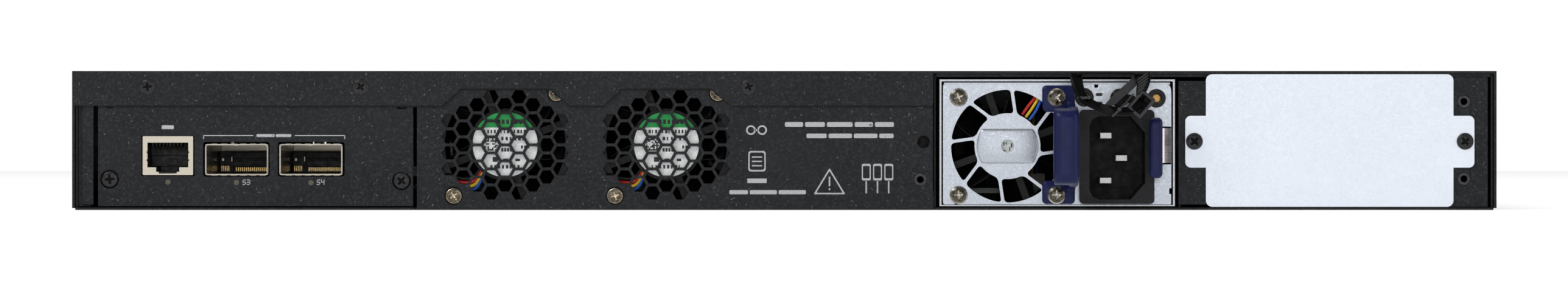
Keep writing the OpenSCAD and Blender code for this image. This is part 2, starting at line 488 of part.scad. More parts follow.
// ---- latch: leaf spring inside the case wall with a squeeze tab ----
module latch_spring() color("#b9a9a4") union() {
  translate([0, 0, 14.7]) linear_extrude(10.8) polygon([[120.2, YR + 55], [120.2, YR - 0.6], [117.9, YR - 5.1],
    [114.2, YR - 5.1], [114.2, YR - 4.6], [117.45, YR - 4.6], [119.7, YR - 0.5], [119.7, YR + 55]]);
  bx(120.1, 122.15, YR + 13, YR + 20, 18, 22.2);
  cz(119.95, YR + 55, 0.6, 14.7, 25.5);
}
module latch_tab() color("#23285c") xz(YR - 9.5, YR - 5.15) rr(113.1, 117.2, 9.9, 28.8, 1.5);

// ---- cord retainer: releasable strap on a push-in stem ----
function nrm2(v) = [-v[1], v[0]] / norm(v);
module ribbon(p, w) {
  n = len(p);
  d = [for (i = [0:n - 1]) nrm2(p[min(i + 1, n - 1)] - p[max(i - 1, 0)])];
  polygon(concat([for (i = [0:n - 1]) p[i] + d[i] * w[i] / 2], [for (i = [n - 1:-1:0]) p[i] - d[i] * w[i] / 2]));
}
module retainer_strap() color("#0e0e10") union() {
  xz(YR - 19.6, YR - 18.2) ribbon([[90.2, 43], [90.3, 40], [91.5, 36.5], [93.5, 33.7], [96.5, 32], [99.5, 31], [101.9, 28.9]], [3.6, 3.4, 2.8, 2.4, 2.2, 2.4, 1]);
  xz(YR - 19.6, YR - 18.2) ribbon([[98, 31.6], [101.2, 33.3], [104.8, 36.4], [107.6, 38.9]], [1.4, 2.4, 2.6, 2.6]);
  xz(YR - 19.6, YR - 18.2) ribbon([[109.1, 42.9], [109.1, 39.5], [108.6, 36.2], [110.4, 33]], [8.4, 6.4, 4.8, 4]);
  bx(88.5, 113.2, YR - 19.6, YR - 18.2, 42, 43);
}
module retainer_head() color("#121214") union() {
  xz(YR - 18.15, YR - 11.5) translate([110.8, 33.1]) rotate([0, 0, 50]) difference() {
    square([7.45, 5.2], center = true);
    square([5, 2.6], center = true);
  }
  xz(YR - 13.2, YR - 11.5) ribbon([[103, 35], [106, 34.7], [108.6, 34]], [3.4, 3.2, 3]);
  cy(104.2, 34.9, 1.6, YR - 13, YR - 1.2);
  cy(104.2, 34.9, 2.9, YR - 1.5, YR - 0.35);
  cy(104.2, 34.9, 1.95, YR - 0.4, YR + 2.6);
}

base_tray();
top_cover();
front_panel();
rear_panel();
module_plate();
corner_strip();
bay_side_wall();
bay_divider();
bay_end_plate();
bay_top_lip();
blank_cover();
blank_cover_screws();
cover_screws();
module_screws();
fan_screws();
threaded_inserts();
mainboard();
board_standoffs();
chip_heatsink();
cpu_heatsink();
board_chips();
module_board();
jack_shield();
jack_insert();
jack_contacts();
qsfp_cages();
qsfp_connectors();
rear_light_pipes();
port_shields();
port_inserts();
sfp_cages();
sfp_connectors();
console_jack();
front_light_pipes();
front_button();
fan_1_frame();
fan_1_rotor();
fan_1_leads();
fan_2_frame();
fan_2_rotor();
fan_2_leads();
fan_labels();
power_backplane();
psu_case();
psu_face();
psu_handle();
psu_screws();
psu_inlet();
psu_inlet_pins();
psu_bezels();
psu_lens();
psu_board();
psu_components();
psu_fan_frame();
psu_fan_rotor();
psu_fan_leads();
latch_spring();
latch_tab();
retainer_strap();
retainer_head();
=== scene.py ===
import bpy, bmesh, math, random
from mathutils import Vector, Matrix


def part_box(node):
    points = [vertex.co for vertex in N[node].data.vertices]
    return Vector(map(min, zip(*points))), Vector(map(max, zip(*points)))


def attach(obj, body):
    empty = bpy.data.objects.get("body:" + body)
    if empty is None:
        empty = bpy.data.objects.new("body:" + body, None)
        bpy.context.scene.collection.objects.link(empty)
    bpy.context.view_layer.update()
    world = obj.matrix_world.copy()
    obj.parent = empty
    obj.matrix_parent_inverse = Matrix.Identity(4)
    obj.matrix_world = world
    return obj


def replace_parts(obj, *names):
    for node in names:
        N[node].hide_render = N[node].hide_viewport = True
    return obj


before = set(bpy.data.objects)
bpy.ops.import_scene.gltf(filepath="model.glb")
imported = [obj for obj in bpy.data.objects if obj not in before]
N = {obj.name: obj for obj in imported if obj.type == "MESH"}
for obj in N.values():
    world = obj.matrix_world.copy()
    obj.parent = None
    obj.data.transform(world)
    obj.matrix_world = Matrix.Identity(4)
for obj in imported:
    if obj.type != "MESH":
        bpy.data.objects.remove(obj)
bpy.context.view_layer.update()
random.seed(7)

# ------------------------------------------------------------------ reference planes (metres)
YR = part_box("blank_cover")[0].y            # outermost rear sheet face
P0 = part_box("rear_panel")[0].y             # rear panels, outer face
P1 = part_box("rear_panel")[1].y
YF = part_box("front_panel")[1].y            # port panel face
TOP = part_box("top_cover")[1].z
MM = 0.001


# ------------------------------------------------------------------ material helpers
class Mat:
    def __init__(self, name, color, rough=0.5, metal=0.0, spec=None, coat=None, coat_rough=None, ior=None, trans=None):
        self.m = bpy.data.materials.new(name)
        self.m.use_nodes = True
        self.nt = self.m.node_tree
        self.b = self.nt.nodes["Principled BSDF"]
        self.b.inputs["Base Color"].default_value = (*color, 1)
        self.b.inputs["Roughness"].default_value = rough
        self.b.inputs["Metallic"].default_value = metal
        if spec is not None: self.b.inputs["Specular IOR Level"].default_value = spec
        if coat is not None: self.b.inputs["Coat Weight"].default_value = coat
        if coat_rough is not None: self.b.inputs["Coat Roughness"].default_value = coat_rough
        if ior is not None: self.b.inputs["IOR"].default_value = ior
        if trans is not None: self.b.inputs["Transmission Weight"].default_value = trans
        self.tc = self.nt.nodes.new("ShaderNodeTexCoord")
        self.normal = None

    def node(self, kind, **kw):
        n = self.nt.nodes.new(kind)
        for k, v in kw.items():
            setattr(n, k, v)
        return n

    def link(self, a, b):
        self.nt.links.new(a, b)

    def coords(self, scale=(1, 1, 1), rot=(0, 0, 0)):
        mp = self.node("ShaderNodeMapping")
        mp.inputs["Scale"].default_value = scale
        mp.inputs["Rotation"].default_value = rot
        self.link(self.tc.outputs["Object"], mp.inputs["Vector"])
        return mp.outputs["Vector"]

    def noise(self, scale, detail=2.0, rough=0.5, vec=None, dist=0.0):
        n = self.node("ShaderNodeTexNoise")
        n.inputs["Scale"].default_value = scale
        n.inputs["Detail"].default_value = detail
        n.inputs["Roughness"].default_value = rough
        n.inputs["Distortion"].default_value = dist
        self.link(vec if vec is not None else self.tc.outputs["Object"], n.inputs["Vector"])
        return n.outputs["Fac"]

    def voro(self, scale, feature="F1", out="Distance", vec=None, rnd=1.0):
        n = self.node("ShaderNodeTexVoronoi", feature=feature)
        n.inputs["Scale"].default_value = scale
        n.inputs["Randomness"].default_value = rnd
        self.link(vec if vec is not None else self.tc.outputs["Object"], n.inputs["Vector"])
        return n.outputs[out]

    def ramp(self, fac, stops, ease="LINEAR"):
        n = self.node("ShaderNodeValToRGB")
        n.color_ramp.interpolation = ease
        e = n.color_ramp.elements
        while len(e) > len(stops): e.remove(e[-1])
        while len(e) < len(stops): e.new(0.5)
        for k, (p, c) in enumerate(stops):
            e[k].position = p
            e[k].color = (*c, 1) if isinstance(c, (tuple, list)) else (c, c, c, 1)
        self.link(fac, n.inputs["Fac"])
        return n.outputs["Color"]

    def math(self, op, a, b=None, clamp=False):
        n = self.node("ShaderNodeMath", operation=op, use_clamp=clamp)
        for i, v in enumerate((a, b)):
            if v is None: continue
            if isinstance(v, (int, float)): n.inputs[i].default_value = v
            else: self.link(v, n.inputs[i])
        return n.outputs[0]

    def mix(self, fac, a, b, kind="MIX"):
        n = self.node("ShaderNodeMix", data_type="RGBA", blend_type=kind)
        if isinstance(fac, (int, float)): n.inputs[0].default_value = fac
        else: self.link(fac, n.inputs[0])
        for idx, v in ((6, a), (7, b)):
            if isinstance(v, (tuple, list)): n.inputs[idx].default_value = (*v, 1)
            else: self.link(v, n.inputs[idx])
        return n.outputs[2]

    def color(self, out): self.link(out, self.b.inputs["Base Color"])
    def rough(self, out): self.link(out, self.b.inputs["Roughness"])
    def metal(self, out): self.link(out, self.b.inputs["Metallic"])

    def bump(self, height, strength=0.3, dist=0.0002):
        n = self.node("ShaderNodeBump")
        n.inputs["Strength"].default_value = strength
        n.inputs["Distance"].default_value = dist
        self.link(height, n.inputs["Height"])
        if self.normal is not None: self.link(self.normal, n.inputs["Normal"])
        self.normal = n.outputs["Normal"]
        self.link(self.normal, self.b.inputs["Normal"])

    def edge_wear(self, base, lit_edge, amount=0.5, lo=0.53, hi=0.62):
        """Painted highlight: lighter colour on convex edges, broken up by noise."""
        g = self.node("ShaderNodeNewGeometry")
        p = self.ramp(g.outputs["Pointiness"], [(lo, 0.0), (hi, 1.0)])
        n = self.ramp(self.noise(900, 3), [(0.42, 0.0), (0.62, 1.0)])
        f = self.math("MULTIPLY", self.math("MULTIPLY", p, n), amount)
        return self.mix(f, base, lit_edge)


# ------------------------------------------------------------------ materials
def make_powder(name, base=(0.0105, 0.0112, 0.0125), grit=1.0):
    m = Mat(name, base, rough=0.5, spec=0.13)
    fine = m.noise(2600, 3, 0.6)
    mid = m.noise(900, 2, 0.5)
    # sparse raised flecks: short, irregular, about half a millimetre
    warp = m.noise(700, 2, 0.6)
    cell = m.voro(330, "F1", "Distance")
    pick = m.node("ShaderNodeSeparateColor")
    m.link(m.voro(330, "F1", "Color"), pick.inputs[0])
    size = m.math("MULTIPLY", m.ramp(pick.outputs[0], [(0.78, 0.0), (1.0, 0.34)]), m.ramp(warp, [(0.3, 0.35), (0.7, 1.0)]))
    fleck = m.ramp(m.math("SUBTRACT", size, cell), [(0.0, 0.0), (0.10, 1.0)], "EASE")
    tone = m.mix(m.ramp(m.noise(55, 3, 0.55), [(0.3, 0.0), (0.75, 1.0)]), tuple(c * 0.80 for c in base), tuple(c * 1.12 for c in base))
    m.color(m.mix(m.ramp(m.noise(1150, 4, 0.7), [(0.50, 0.0), (0.66, 0.75)]), tone, tuple(c * 2.6 for c in base)))
    m.rough(m.ramp(m.noise(420, 3), [(0.3, 0.40), (0.75, 0.60)]))
    m.bump(m.math("ADD", m.math("MULTIPLY", fine, 0.6), m.math("MULTIPLY", mid, 0.5)), 0.55, 0.00009)
    m.bump(fleck, 0.9 * grit, 0.00016)
    return m.m


def make_zinc(name, base, dark, rough=(0.34, 0.5), metal=0.85, speck=0.5):
    m = Mat(name, base, rough=0.4, metal=metal)
    fine = m.noise(2400, 3, 0.65)
    spang = m.voro(150, "F1", "Color")
    sp = m.node("ShaderNodeSeparateColor"); m.link(spang, sp.inputs[0])
    big = m.noise(38, 3, 0.5)
    a = m.mix(m.ramp(fine, [(0.36, 0.0), (0.66, 1.0)]), dark, base)
    b = m.mix(m.math("MULTIPLY", sp.outputs[0], 0.16), a, tuple(min(1.0, c * 0.86) for c in base))
    c = m.mix(m.ramp(big, [(0.35, 0.0), (0.7, 0.14)]), b, tuple(min(1.0, c * 1.08) for c in base))
    # pinholes and dust specks
    pin = m.ramp(m.voro(520), [(0.03, 1.0), (0.075, 0.0)])
    m.color(m.mix(m.math("MULTIPLY", pin, speck), c, tuple(c2 * 0.45 for c2 in base)))
    m.rough(m.ramp(m.noise(1500, 2), [(0.3, rough[0]), (0.7, rough[1])]))
    m.bump(fine, 0.16, 0.00006)
    m.bump(m.noise(170, 2), 0.10, 0.00025)
    return m.m


def make_brushed(name, base, rough=0.32, scale=(60, 60, 4200), tint=0.85, metal=1.0):
    m = Mat(name, base, rough=rough, metal=metal)
    s = m.noise(1.0, 3, 0.6, m.coords(scale))
    m.color(m.mix(m.ramp(s, [(0.35, 0.0), (0.65, 1.0)]), tuple(c * tint for c in base), base))
    m.rough(m.ramp(s, [(0.3, rough - 0.07), (0.7, rough + 0.1)]))
    m.bump(s, 0.2, 0.00004)
    return m.m


def make_plastic(name, base, rough=0.45, grain=2200, strength=0.2, mottled=0.2, spec=0.24, dist=0.00006):
    m = Mat(name, base, rough=rough, spec=spec)
    g = m.noise(grain, 3, 0.6)
    m.color(m.mix(m.ramp(m.noise(160, 3), [(0.3, 0.0), (0.7, 1.0)]), tuple(c * (1 - mottled) for c in base), tuple(min(1, c * (1 + mottled)) for c in base)))
    m.rough(m.ramp(m.noise(grain * 0.4, 2), [(0.3, max(0.05, rough - 0.08)), (0.7, min(1, rough + 0.1))]))
    m.bump(g, strength, dist)
    return m.m


def make_screw(name, base, dark, rough=0.32, metal=1.0):
    m = Mat(name, base, rough=rough, metal=metal)
    g = m.noise(1400, 3)
    # painted highlight: convex edges of the metal are coloured lighter
    m.color(m.edge_wear(m.mix(m.ramp(g, [(0.35, 0.0), (0.7, 1.0)]), dark, base), tuple(min(1, c * 1.6 + 0.05) for c in base), 0.6))
    m.rough(m.ramp(m.noise(900, 2), [(0.3, rough - 0.08), (0.7, rough + 0.14)]))
    m.bump(g, 0.22, 0.00006)
    return m.m


def make_board(name):
    m = Mat(name, (0.012, 0.09, 0.045), rough=0.3, spec=0.35, coat=0.4, coat_rough=0.2)
    tr = m.ramp(m.voro(260, "DISTANCE_TO_EDGE", "Distance", m.coords((1, 1, 0.001)), 0.25), [(0.03, 1.0), (0.06, 0.0)])
    via = m.ramp(m.voro(330, "F1", "Distance"), [(0.08, 1.0), (0.12, 0.0)])
    c = m.mix(tr, (0.010, 0.075, 0.038), (0.018, 0.13, 0.065))
    m.color(m.mix(m.math("MULTIPLY", via, 0.7), c, (0.30, 0.27, 0.12)))
    m.bump(tr, 0.25, 0.00005)
    return m.m


def make_clear(name, base, rough=0.12, trans=0.35, emit=None):
    m = Mat(name, base, rough=rough, trans=trans, ior=1.49)
    g = m.noise(900, 2)
    m.color(m.mix(m.ramp(g, [(0.3, 0.0), (0.7, 1.0)]), tuple(c * 0.85 for c in base), base))
    m.rough(m.ramp(g, [(0.3, rough), (0.8, rough + 0.12)]))
    m.bump(g, 0.06, 0.00005)
    return m.m


def make_print(name, base=(0.62, 0.63, 0.64)):
    m = Mat(name, base, rough=0.55, spec=0.3)
    g = m.noise(2600, 3, 0.7)
    m.color(m.mix(m.ramp(g, [(0.42, 0.0), (0.6, 1.0)]), tuple(c * 0.72 for c in base), base))
    m.rough(m.ramp(m.noise(1500, 2), [(0.3, 0.45), (0.7, 0.65)]))
    m.bump(g, 0.3, 0.00005)
    return m.m


POWDER = make_powder("black_powder_coat_rear")
# painted highlight: the flecks are the same coat, coloured lighter so they read as lit
POWDER_FLECK_PAINTED_LIT = make_plastic("coat_fleck", (0.040, 0.042, 0.045), 0.30, 1500, 0.2, 0.3, 0.85)
# painted shade: the same black coat made darker for the wall inside the bay
POWDER_PAINTED_SHADE = make_powder("black_powder_coat_inner_painted_shade", (0.007, 0.0075, 0.008), 0.6)
ZINC_BLANK = make_zinc("galvanised_blank", (0.66, 0.70, 0.76), (0.58, 0.62, 0.68), (0.38, 0.55), 0.55, 0.35)
ZINC_FACE = make_zinc("galvanised_face", (0.445, 0.472, 0.515), (0.305, 0.327, 0.367), (0.26, 0.42), 0.9, 0.5)
STEEL = make_zinc("plated_sheet", (0.42, 0.43, 0.45), (0.30, 0.31, 0.33), (0.26, 0.42), 1.0, 0.4)
CAGE = make_brushed("cage_metal", (0.40, 0.372, 0.32), 0.3, (40, 40, 2600), 0.8)
NICKEL = make_brushed("nickel_shield", (0.44, 0.405, 0.335), 0.32, (30, 30, 2200), 0.84)
BLACK_SCREW = make_screw("black_oxide_screw", (0.050, 0.051, 0.055), (0.018, 0.018, 0.02), 0.36, 0.75)
ZINC_SCREW = make_screw("yellow_zinc_screw", (0.62, 0.52, 0.36), (0.34, 0.27, 0.17), 0.24)
STEEL_SCREW = make_screw("bright_steel_screw", (0.60, 0.57, 0.50), (0.30, 0.28, 0.24), 0.22)
# lit and shaded copies of the screw metals: the black crown is darker as a painted dark reflection, the black recess
# near-black as painted shade
CROWN_K_PAINTED_DARK = make_screw("black_screw_crown", (0.016, 0.016, 0.018), (0.008, 0.008, 0.009), 0.3, 0.5)
RECESS_PAINTED_SHADE = make_plastic("black_screw_recess_painted_shade", (0.0025, 0.0025, 0.003), 0.5, 1200, 0.2, 0.2, 0.1)
# painted dark reflection: a darkened copy of the bright screw metal for the crown
CROWN_PAINTED_DARK = make_screw("screw_crown_painted_dark", (0.13, 0.115, 0.09), (0.045, 0.04, 0.032), 0.2)
BOARD = make_board("solder_mask")
BRASS = make_screw("turned_brass", (0.72, 0.52, 0.22), (0.55, 0.38, 0.14), 0.3)
ALU = make_brushed("extruded_aluminium", (0.66, 0.67, 0.69), 0.34, (50, 3600, 60))
EPOXY = make_plastic("moulded_epoxy", (0.016, 0.016, 0.017), 0.5, 1500, 0.3)
PLASTIC = make_plastic("black_moulding", (0.006, 0.006, 0.0065), 0.42, 1800, 0.14)
# painted shade: black moulding made darker than the plain black moulding, for the shaded fan parts and the dark sheets
# in shaded places
FAN_BLACK_PAINTED_SHADE = make_plastic("fan_moulding_painted_shade", (0.0035, 0.0035, 0.004), 0.46, 1600, 0.14, 0.2, 0.16)
GRAINY = make_plastic("grained_black_moulding", (0.0075, 0.0075, 0.009), 0.5, 1100, 0.8, 0.25, 0.2, 0.00022)
NYLON = make_plastic("black_nylon", (0.0016, 0.0016, 0.0019), 0.33, 700, 0.12, 0.2, 0.07)
# painted highlight: a lighter copy of the black nylon for strap parts drawn as lit
NYLON_PAINTED_LIT = make_plastic("black_nylon_lit", (0.024, 0.024, 0.026), 0.27, 700, 0.12, 0.2, 0.2)
BLUE = make_plastic("blue_moulding", (0.0048, 0.0072, 0.046), 0.34, 1500, 0.22, 0.14, 0.17)
GOLD = make_screw("gold_contact", (0.50, 0.36, 0.15), (0.34, 0.23, 0.09), 0.24)
PIN = make_brushed("plated_pin", (0.34, 0.335, 0.33), 0.26, (900, 60, 900))
SPRING = make_brushed("spring_strip", (0.80, 0.73, 0.74), 0.34, (40, 40, 3800), 0.78)
LENS = make_clear("clear_light_pipe", (0.62, 0.66, 0.62), 0.15, 0.3)
SMOKE = make_clear("smoked_light_pipe", (0.05, 0.042, 0.022), 0.2, 0.1)
AMBER = make_clear("amber_lens", (0.70, 0.38, 0.10), 0.15, 0.3)
PRINT = make_print("white_print", (0.40, 0.41, 0.42))
LABEL_W = make_print("label_white", (0.80, 0.82, 0.82))
LABEL_G = make_print("label_green", (0.02, 0.36, 0.08))
LABEL_K = make_print("label_ink", (0.02, 0.02, 0.022))
WIRE_R = make_plastic("wire_red", (0.42, 0.02, 0.015), 0.35, 900, 0.1)
WIRE_Y = make_plastic("wire_yellow", (0.62, 0.42, 0.03), 0.35, 900, 0.1)
WIRE_B = make_plastic("wire_blue", (0.02, 0.10, 0.42), 0.35, 900, 0.1)
WIRE_K = make_plastic("wire_black", (0.010, 0.010, 0.011), 0.35, 900, 0.1)
NATURAL = make_plastic("natural_nylon", (0.62, 0.60, 0.53), 0.45, 900, 0.12)
CAP_SLEEVE = make_plastic("capacitor_sleeve", (0.015, 0.018, 0.045), 0.3, 600, 0.1)
TAPE = make_plastic("transformer_tape", (0.55, 0.40, 0.05), 0.35, 700, 0.15)
FERRITE = make_plastic("ferrite", (0.022, 0.022, 0.024), 0.6, 1300, 0.4)


# ------------------------------------------------------------------ carried-over CAD nodes
ASSIGN = {
    "base_tray": POWDER, "top_cover": POWDER, "front_panel": POWDER, "rear_panel": POWDER,
    "module_plate": POWDER, "corner_strip": POWDER, "bay_side_wall": POWDER_PAINTED_SHADE, "bay_divider": POWDER,
    "bay_end_plate": POWDER, "bay_top_lip": POWDER, "blank_cover": ZINC_BLANK,
    "blank_cover_screws": BLACK_SCREW, "cover_screws": BLACK_SCREW, "module_screws": BLACK_SCREW,
    "fan_screws": ZINC_SCREW, "threaded_inserts": BLACK_SCREW, "mainboard": BOARD,
    "board_standoffs": BRASS, "chip_heatsink": ALU, "cpu_heatsink": ALU, "board_chips": EPOXY,
    "module_board": BOARD, "jack_shield": NICKEL, "jack_insert": PLASTIC, "jack_contacts": GOLD,
    "qsfp_cages": CAGE, "qsfp_connectors": PLASTIC, "rear_light_pipes": SMOKE,
    "port_shields": STEEL, "port_inserts": PLASTIC, "sfp_cages": CAGE, "sfp_connectors": PLASTIC,
    "console_jack": STEEL, "front_light_pipes": LENS, "front_button": PLASTIC,
    # fan frames in the shade-darkened black (painted shade)
    "fan_1_frame": FAN_BLACK_PAINTED_SHADE, "fan_1_rotor": PLASTIC, "fan_1_leads": WIRE_Y,
    "fan_2_frame": FAN_BLACK_PAINTED_SHADE, "fan_2_rotor": PLASTIC, "fan_2_leads": WIRE_Y, "fan_labels": LABEL_W,
    "power_backplane": BOARD, "psu_case": STEEL, "psu_face": ZINC_FACE, "psu_handle": BLUE,
    "psu_screws": STEEL_SCREW, "psu_inlet": GRAINY, "psu_inlet_pins": PIN, "psu_bezels": PLASTIC,
    # supply fan frame in the shade-darkened black (painted shade)
    "psu_lens": AMBER, "psu_board": BOARD, "psu_components": FERRITE, "psu_fan_frame": FAN_BLACK_PAINTED_SHADE,
    "psu_fan_rotor": PLASTIC, "psu_fan_leads": WIRE_R, "latch_spring": SPRING, "latch_tab": BLUE,
    "retainer_strap": NYLON, "retainer_head": NYLON,
}
BEVEL = {  # edge radius in millimetres
    "base_tray": 0.25, "top_cover": 0.3, "front_panel": 0.25, 
    "corner_strip": 0.2, "bay_side_wall": 0.2, "bay_divider": 0.2, "bay_end_plate": 0.2, "bay_top_lip": 0.2,
    "blank_cover": 0.16, "chip_heatsink": 0.12, "cpu_heatsink": 0.12, "board_chips": 0.15, "jack_insert": 0.12,
    "qsfp_cages": 0.12, "psu_case": 0.2, "psu_inlet_pins": 0.35, "psu_components": 0.5, "latch_spring": 0.12,
    "retainer_head": 0.3, "power_backplane": 0.12, "port_inserts": 0.12, "psu_bezels": 0.15, "front_button": 0.15,
    "board_standoffs": 0.12, "fan_1_frame": 0.15, "fan_2_frame": 0.15, "psu_fan_frame": 0.15, "psu_face": 0.1,
    "sfp_cages": 0.08, "port_shields": 0.08, "console_jack": 0.08, "threaded_inserts": 0.1, "mainboard": 0.15,
}
for name, o in N.items():
    o.data.materials.clear()
    o.data.materials.append(ASSIGN[name])
    for p in o.data.polygons:
        p.material_index = 0
    if name in BEVEL:
        w = o.modifiers.new("weld", "WELD")
        w.merge_threshold = 1e-6
        b = o.modifiers.new("edge", "BEVEL")
        b.width = BEVEL[name] * MM
        b.segments = 2
        b.limit_method = "ANGLE"
        b.angle_limit = math.radians(38)
        b.use_clamp_overlap = True
        b.harden_normals = True

# ------------------------------------------------------------------ mesh helpers (millimetres in, metres out)
def mk(name, verts, faces, mat, body, smooth=True, slot=None, angle=35, mats=None, idx=None):
    me = bpy.data.meshes.new(name)
    me.from_pydata([(v[0] * MM, v[1] * MM, v[2] * MM) for v in verts], [], faces)
    for m in (mats or [mat]):
        me.materials.append(m)
    if idx:
        for p, k in zip(me.polygons, idx):
            p.material_index = k
    bm = bmesh.new()
    bm.from_mesh(me)
    bmesh.ops.recalc_face_normals(bm, faces=bm.faces)
    bm.to_mesh(me)
    bm.free()
    if smooth:
        me.shade_smooth()
        me.set_sharp_from_angle(angle=math.radians(angle))
    o = bpy.data.objects.new(name, me)
    bpy.context.scene.collection.objects.link(o)
    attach(o, body)
    return o


class Geo:
    """Collects many small closed shapes into one mesh."""
    def __init__(self):
        self.v, self.f, self.k = [], [], []

    def add(self, verts, faces, k=0):
        n = len(self.v)
        self.v += verts
        self.f += [tuple(i + n for i in f) for f in faces]
        self.k += [k] * len(faces)

    def prism(self, pts, y0, y1, k=0):
        """outline in X-Z (convex or simple), closed from y0 to y1"""
        n = len(pts)
        v = [(p[0], y0, p[1]) for p in pts] + [(p[0], y1, p[1]) for p in pts]
        f = [tuple(range(n)), tuple(range(2 * n - 1, n - 1, -1))]
        f += [(i, (i + 1) % n, n + (i + 1) % n, n + i) for i in range(n)]
        self.add(v, f, k)

    def box(self, x0, x1, y0, y1, z0, z1, k=0, c=0.0):
        """box with chamfered X-Z outline corners of size c, and chamfered -Y rim"""
        if c <= 0:
            self.prism([(x0, z0), (x1, z0), (x1, z1), (x0, z1)], y0, y1, k)
            return
        o = [(x0 + c, z0), (x1 - c, z0), (x1, z0 + c), (x1, z1 - c), (x1 - c, z1), (x0 + c, z1), (x0, z1 - c), (x0, z0 + c)]
        cx, cz = (x0 + x1) / 2, (z0 + z1) / 2
        sx, sz = (x1 - x0 - 2 * c) / (x1 - x0), (z1 - z0 - 2 * c) / (z1 - z0)
        inn = [(cx + (p[0] - cx) * sx, cz + (p[1] - cz) * sz) for p in o]
        n = 8
        v = [(p[0], y0, p[1]) for p in inn] + [(p[0], y0 + c, p[1]) for p in o] + [(p[0], y1, p[1]) for p in o]
        f = [tuple(range(n)), tuple(range(3 * n - 1, 2 * n - 1, -1))]
        for s in (0, n):
            f += [(s + i, s + (i + 1) % n, s + n + (i + 1) % n, s + n + i) for i in range(n)]
        self.add(v, f, k)

    def lathe(self, x, z, prof, seg=32, k=0, close=True):
        """prof: (radius, y) list from one end to the other; ends with radius 0 close the shape"""
        v, f, rings = [], [], []
        for r, y in prof:
            if r < 1e-6:
                rings.append([len(v)])
                v.append((x, y, z))
            else:
                rings.append(list(range(len(v), len(v) + seg)))
                v += [(x + r * math.cos(2 * math.pi * i / seg), y, z + r * math.sin(2 * math.pi * i / seg)) for i in range(seg)]
        for a, b in zip(rings, rings[1:]):
            if len(a) == 1:
                f += [(a[0], b[i], b[(i + 1) % seg]) for i in range(seg)]
            elif len(b) == 1:
                f += [(a[i], b[0], a[(i + 1) % seg]) for i in range(seg)]
            else:
                f += [(a[i], b[i], b[(i + 1) % seg], a[(i + 1) % seg]) for i in range(seg)]
        if close and len(rings[0]) > 1: f.append(tuple(rings[0]))
        if close and len(rings[-1]) > 1: f.append(tuple(reversed(rings[-1])))
        self.add(v, f, k)

    def tube(self, pts, r, seg=10, k=0, ref=(0.48, 0.61, -0.63)):
        pts = [Vector(p) for p in pts]
        n = len(pts)
        v, f = [], []
        u = None
        for i, p in enumerate(pts):
            t = (pts[min(i + 1, n - 1)] - pts[max(i - 1, 0)]).normalized()
            u = (Vector(ref).cross(t) if u is None else u - t * u.dot(t)).normalized()
            w = t.cross(u)
            for j in range(seg):
                a = 2 * math.pi * j / seg
                q = p + (u * math.cos(a) + w * math.sin(a)) * (r[i] if isinstance(r, list) else r)
                v.append(tuple(q))
        for i in range(n - 1):
            f += [(i * seg + j, (i + 1) * seg + j, (i + 1) * seg + (j + 1) % seg, i * seg + (j + 1) % seg) for j in range(seg)]
        f += [tuple(range(seg)), tuple(range(n * seg - 1, (n - 1) * seg - 1, -1))]
        self.add(v, f, k)

    def build(self, name, mat, body, **kw):
        return mk(name, self.v, self.f, mat, body, idx=self.k if kw.get("mats") else None, **kw)


def smooth_path(pts, n=6):
    """Catmull-Rom through the points"""
    P = [Vector(p) for p in pts]
    P = [P[0] * 2 - P[1]] + P + [P[-1] * 2 - P[-2]]
    out = []
    for i in range(1, len(P) - 2):
        for j in range(n):
            t = j / n
            a, b, c, d = P[i - 1], P[i], P[i + 1], P[i + 2]
            out.append(0.5 * ((2 * b) + (c - a) * t + (2 * a - 5 * b + 4 * c - d) * t * t + (3 * b - a - 3 * c + d) * t ** 3))
    out.append(P[-2])
    return out


def sstep(a, b, x):
    t = max(0.0, min(1.0, (x - a) / (b - a)))
    return t * t * (3 - 2 * t)


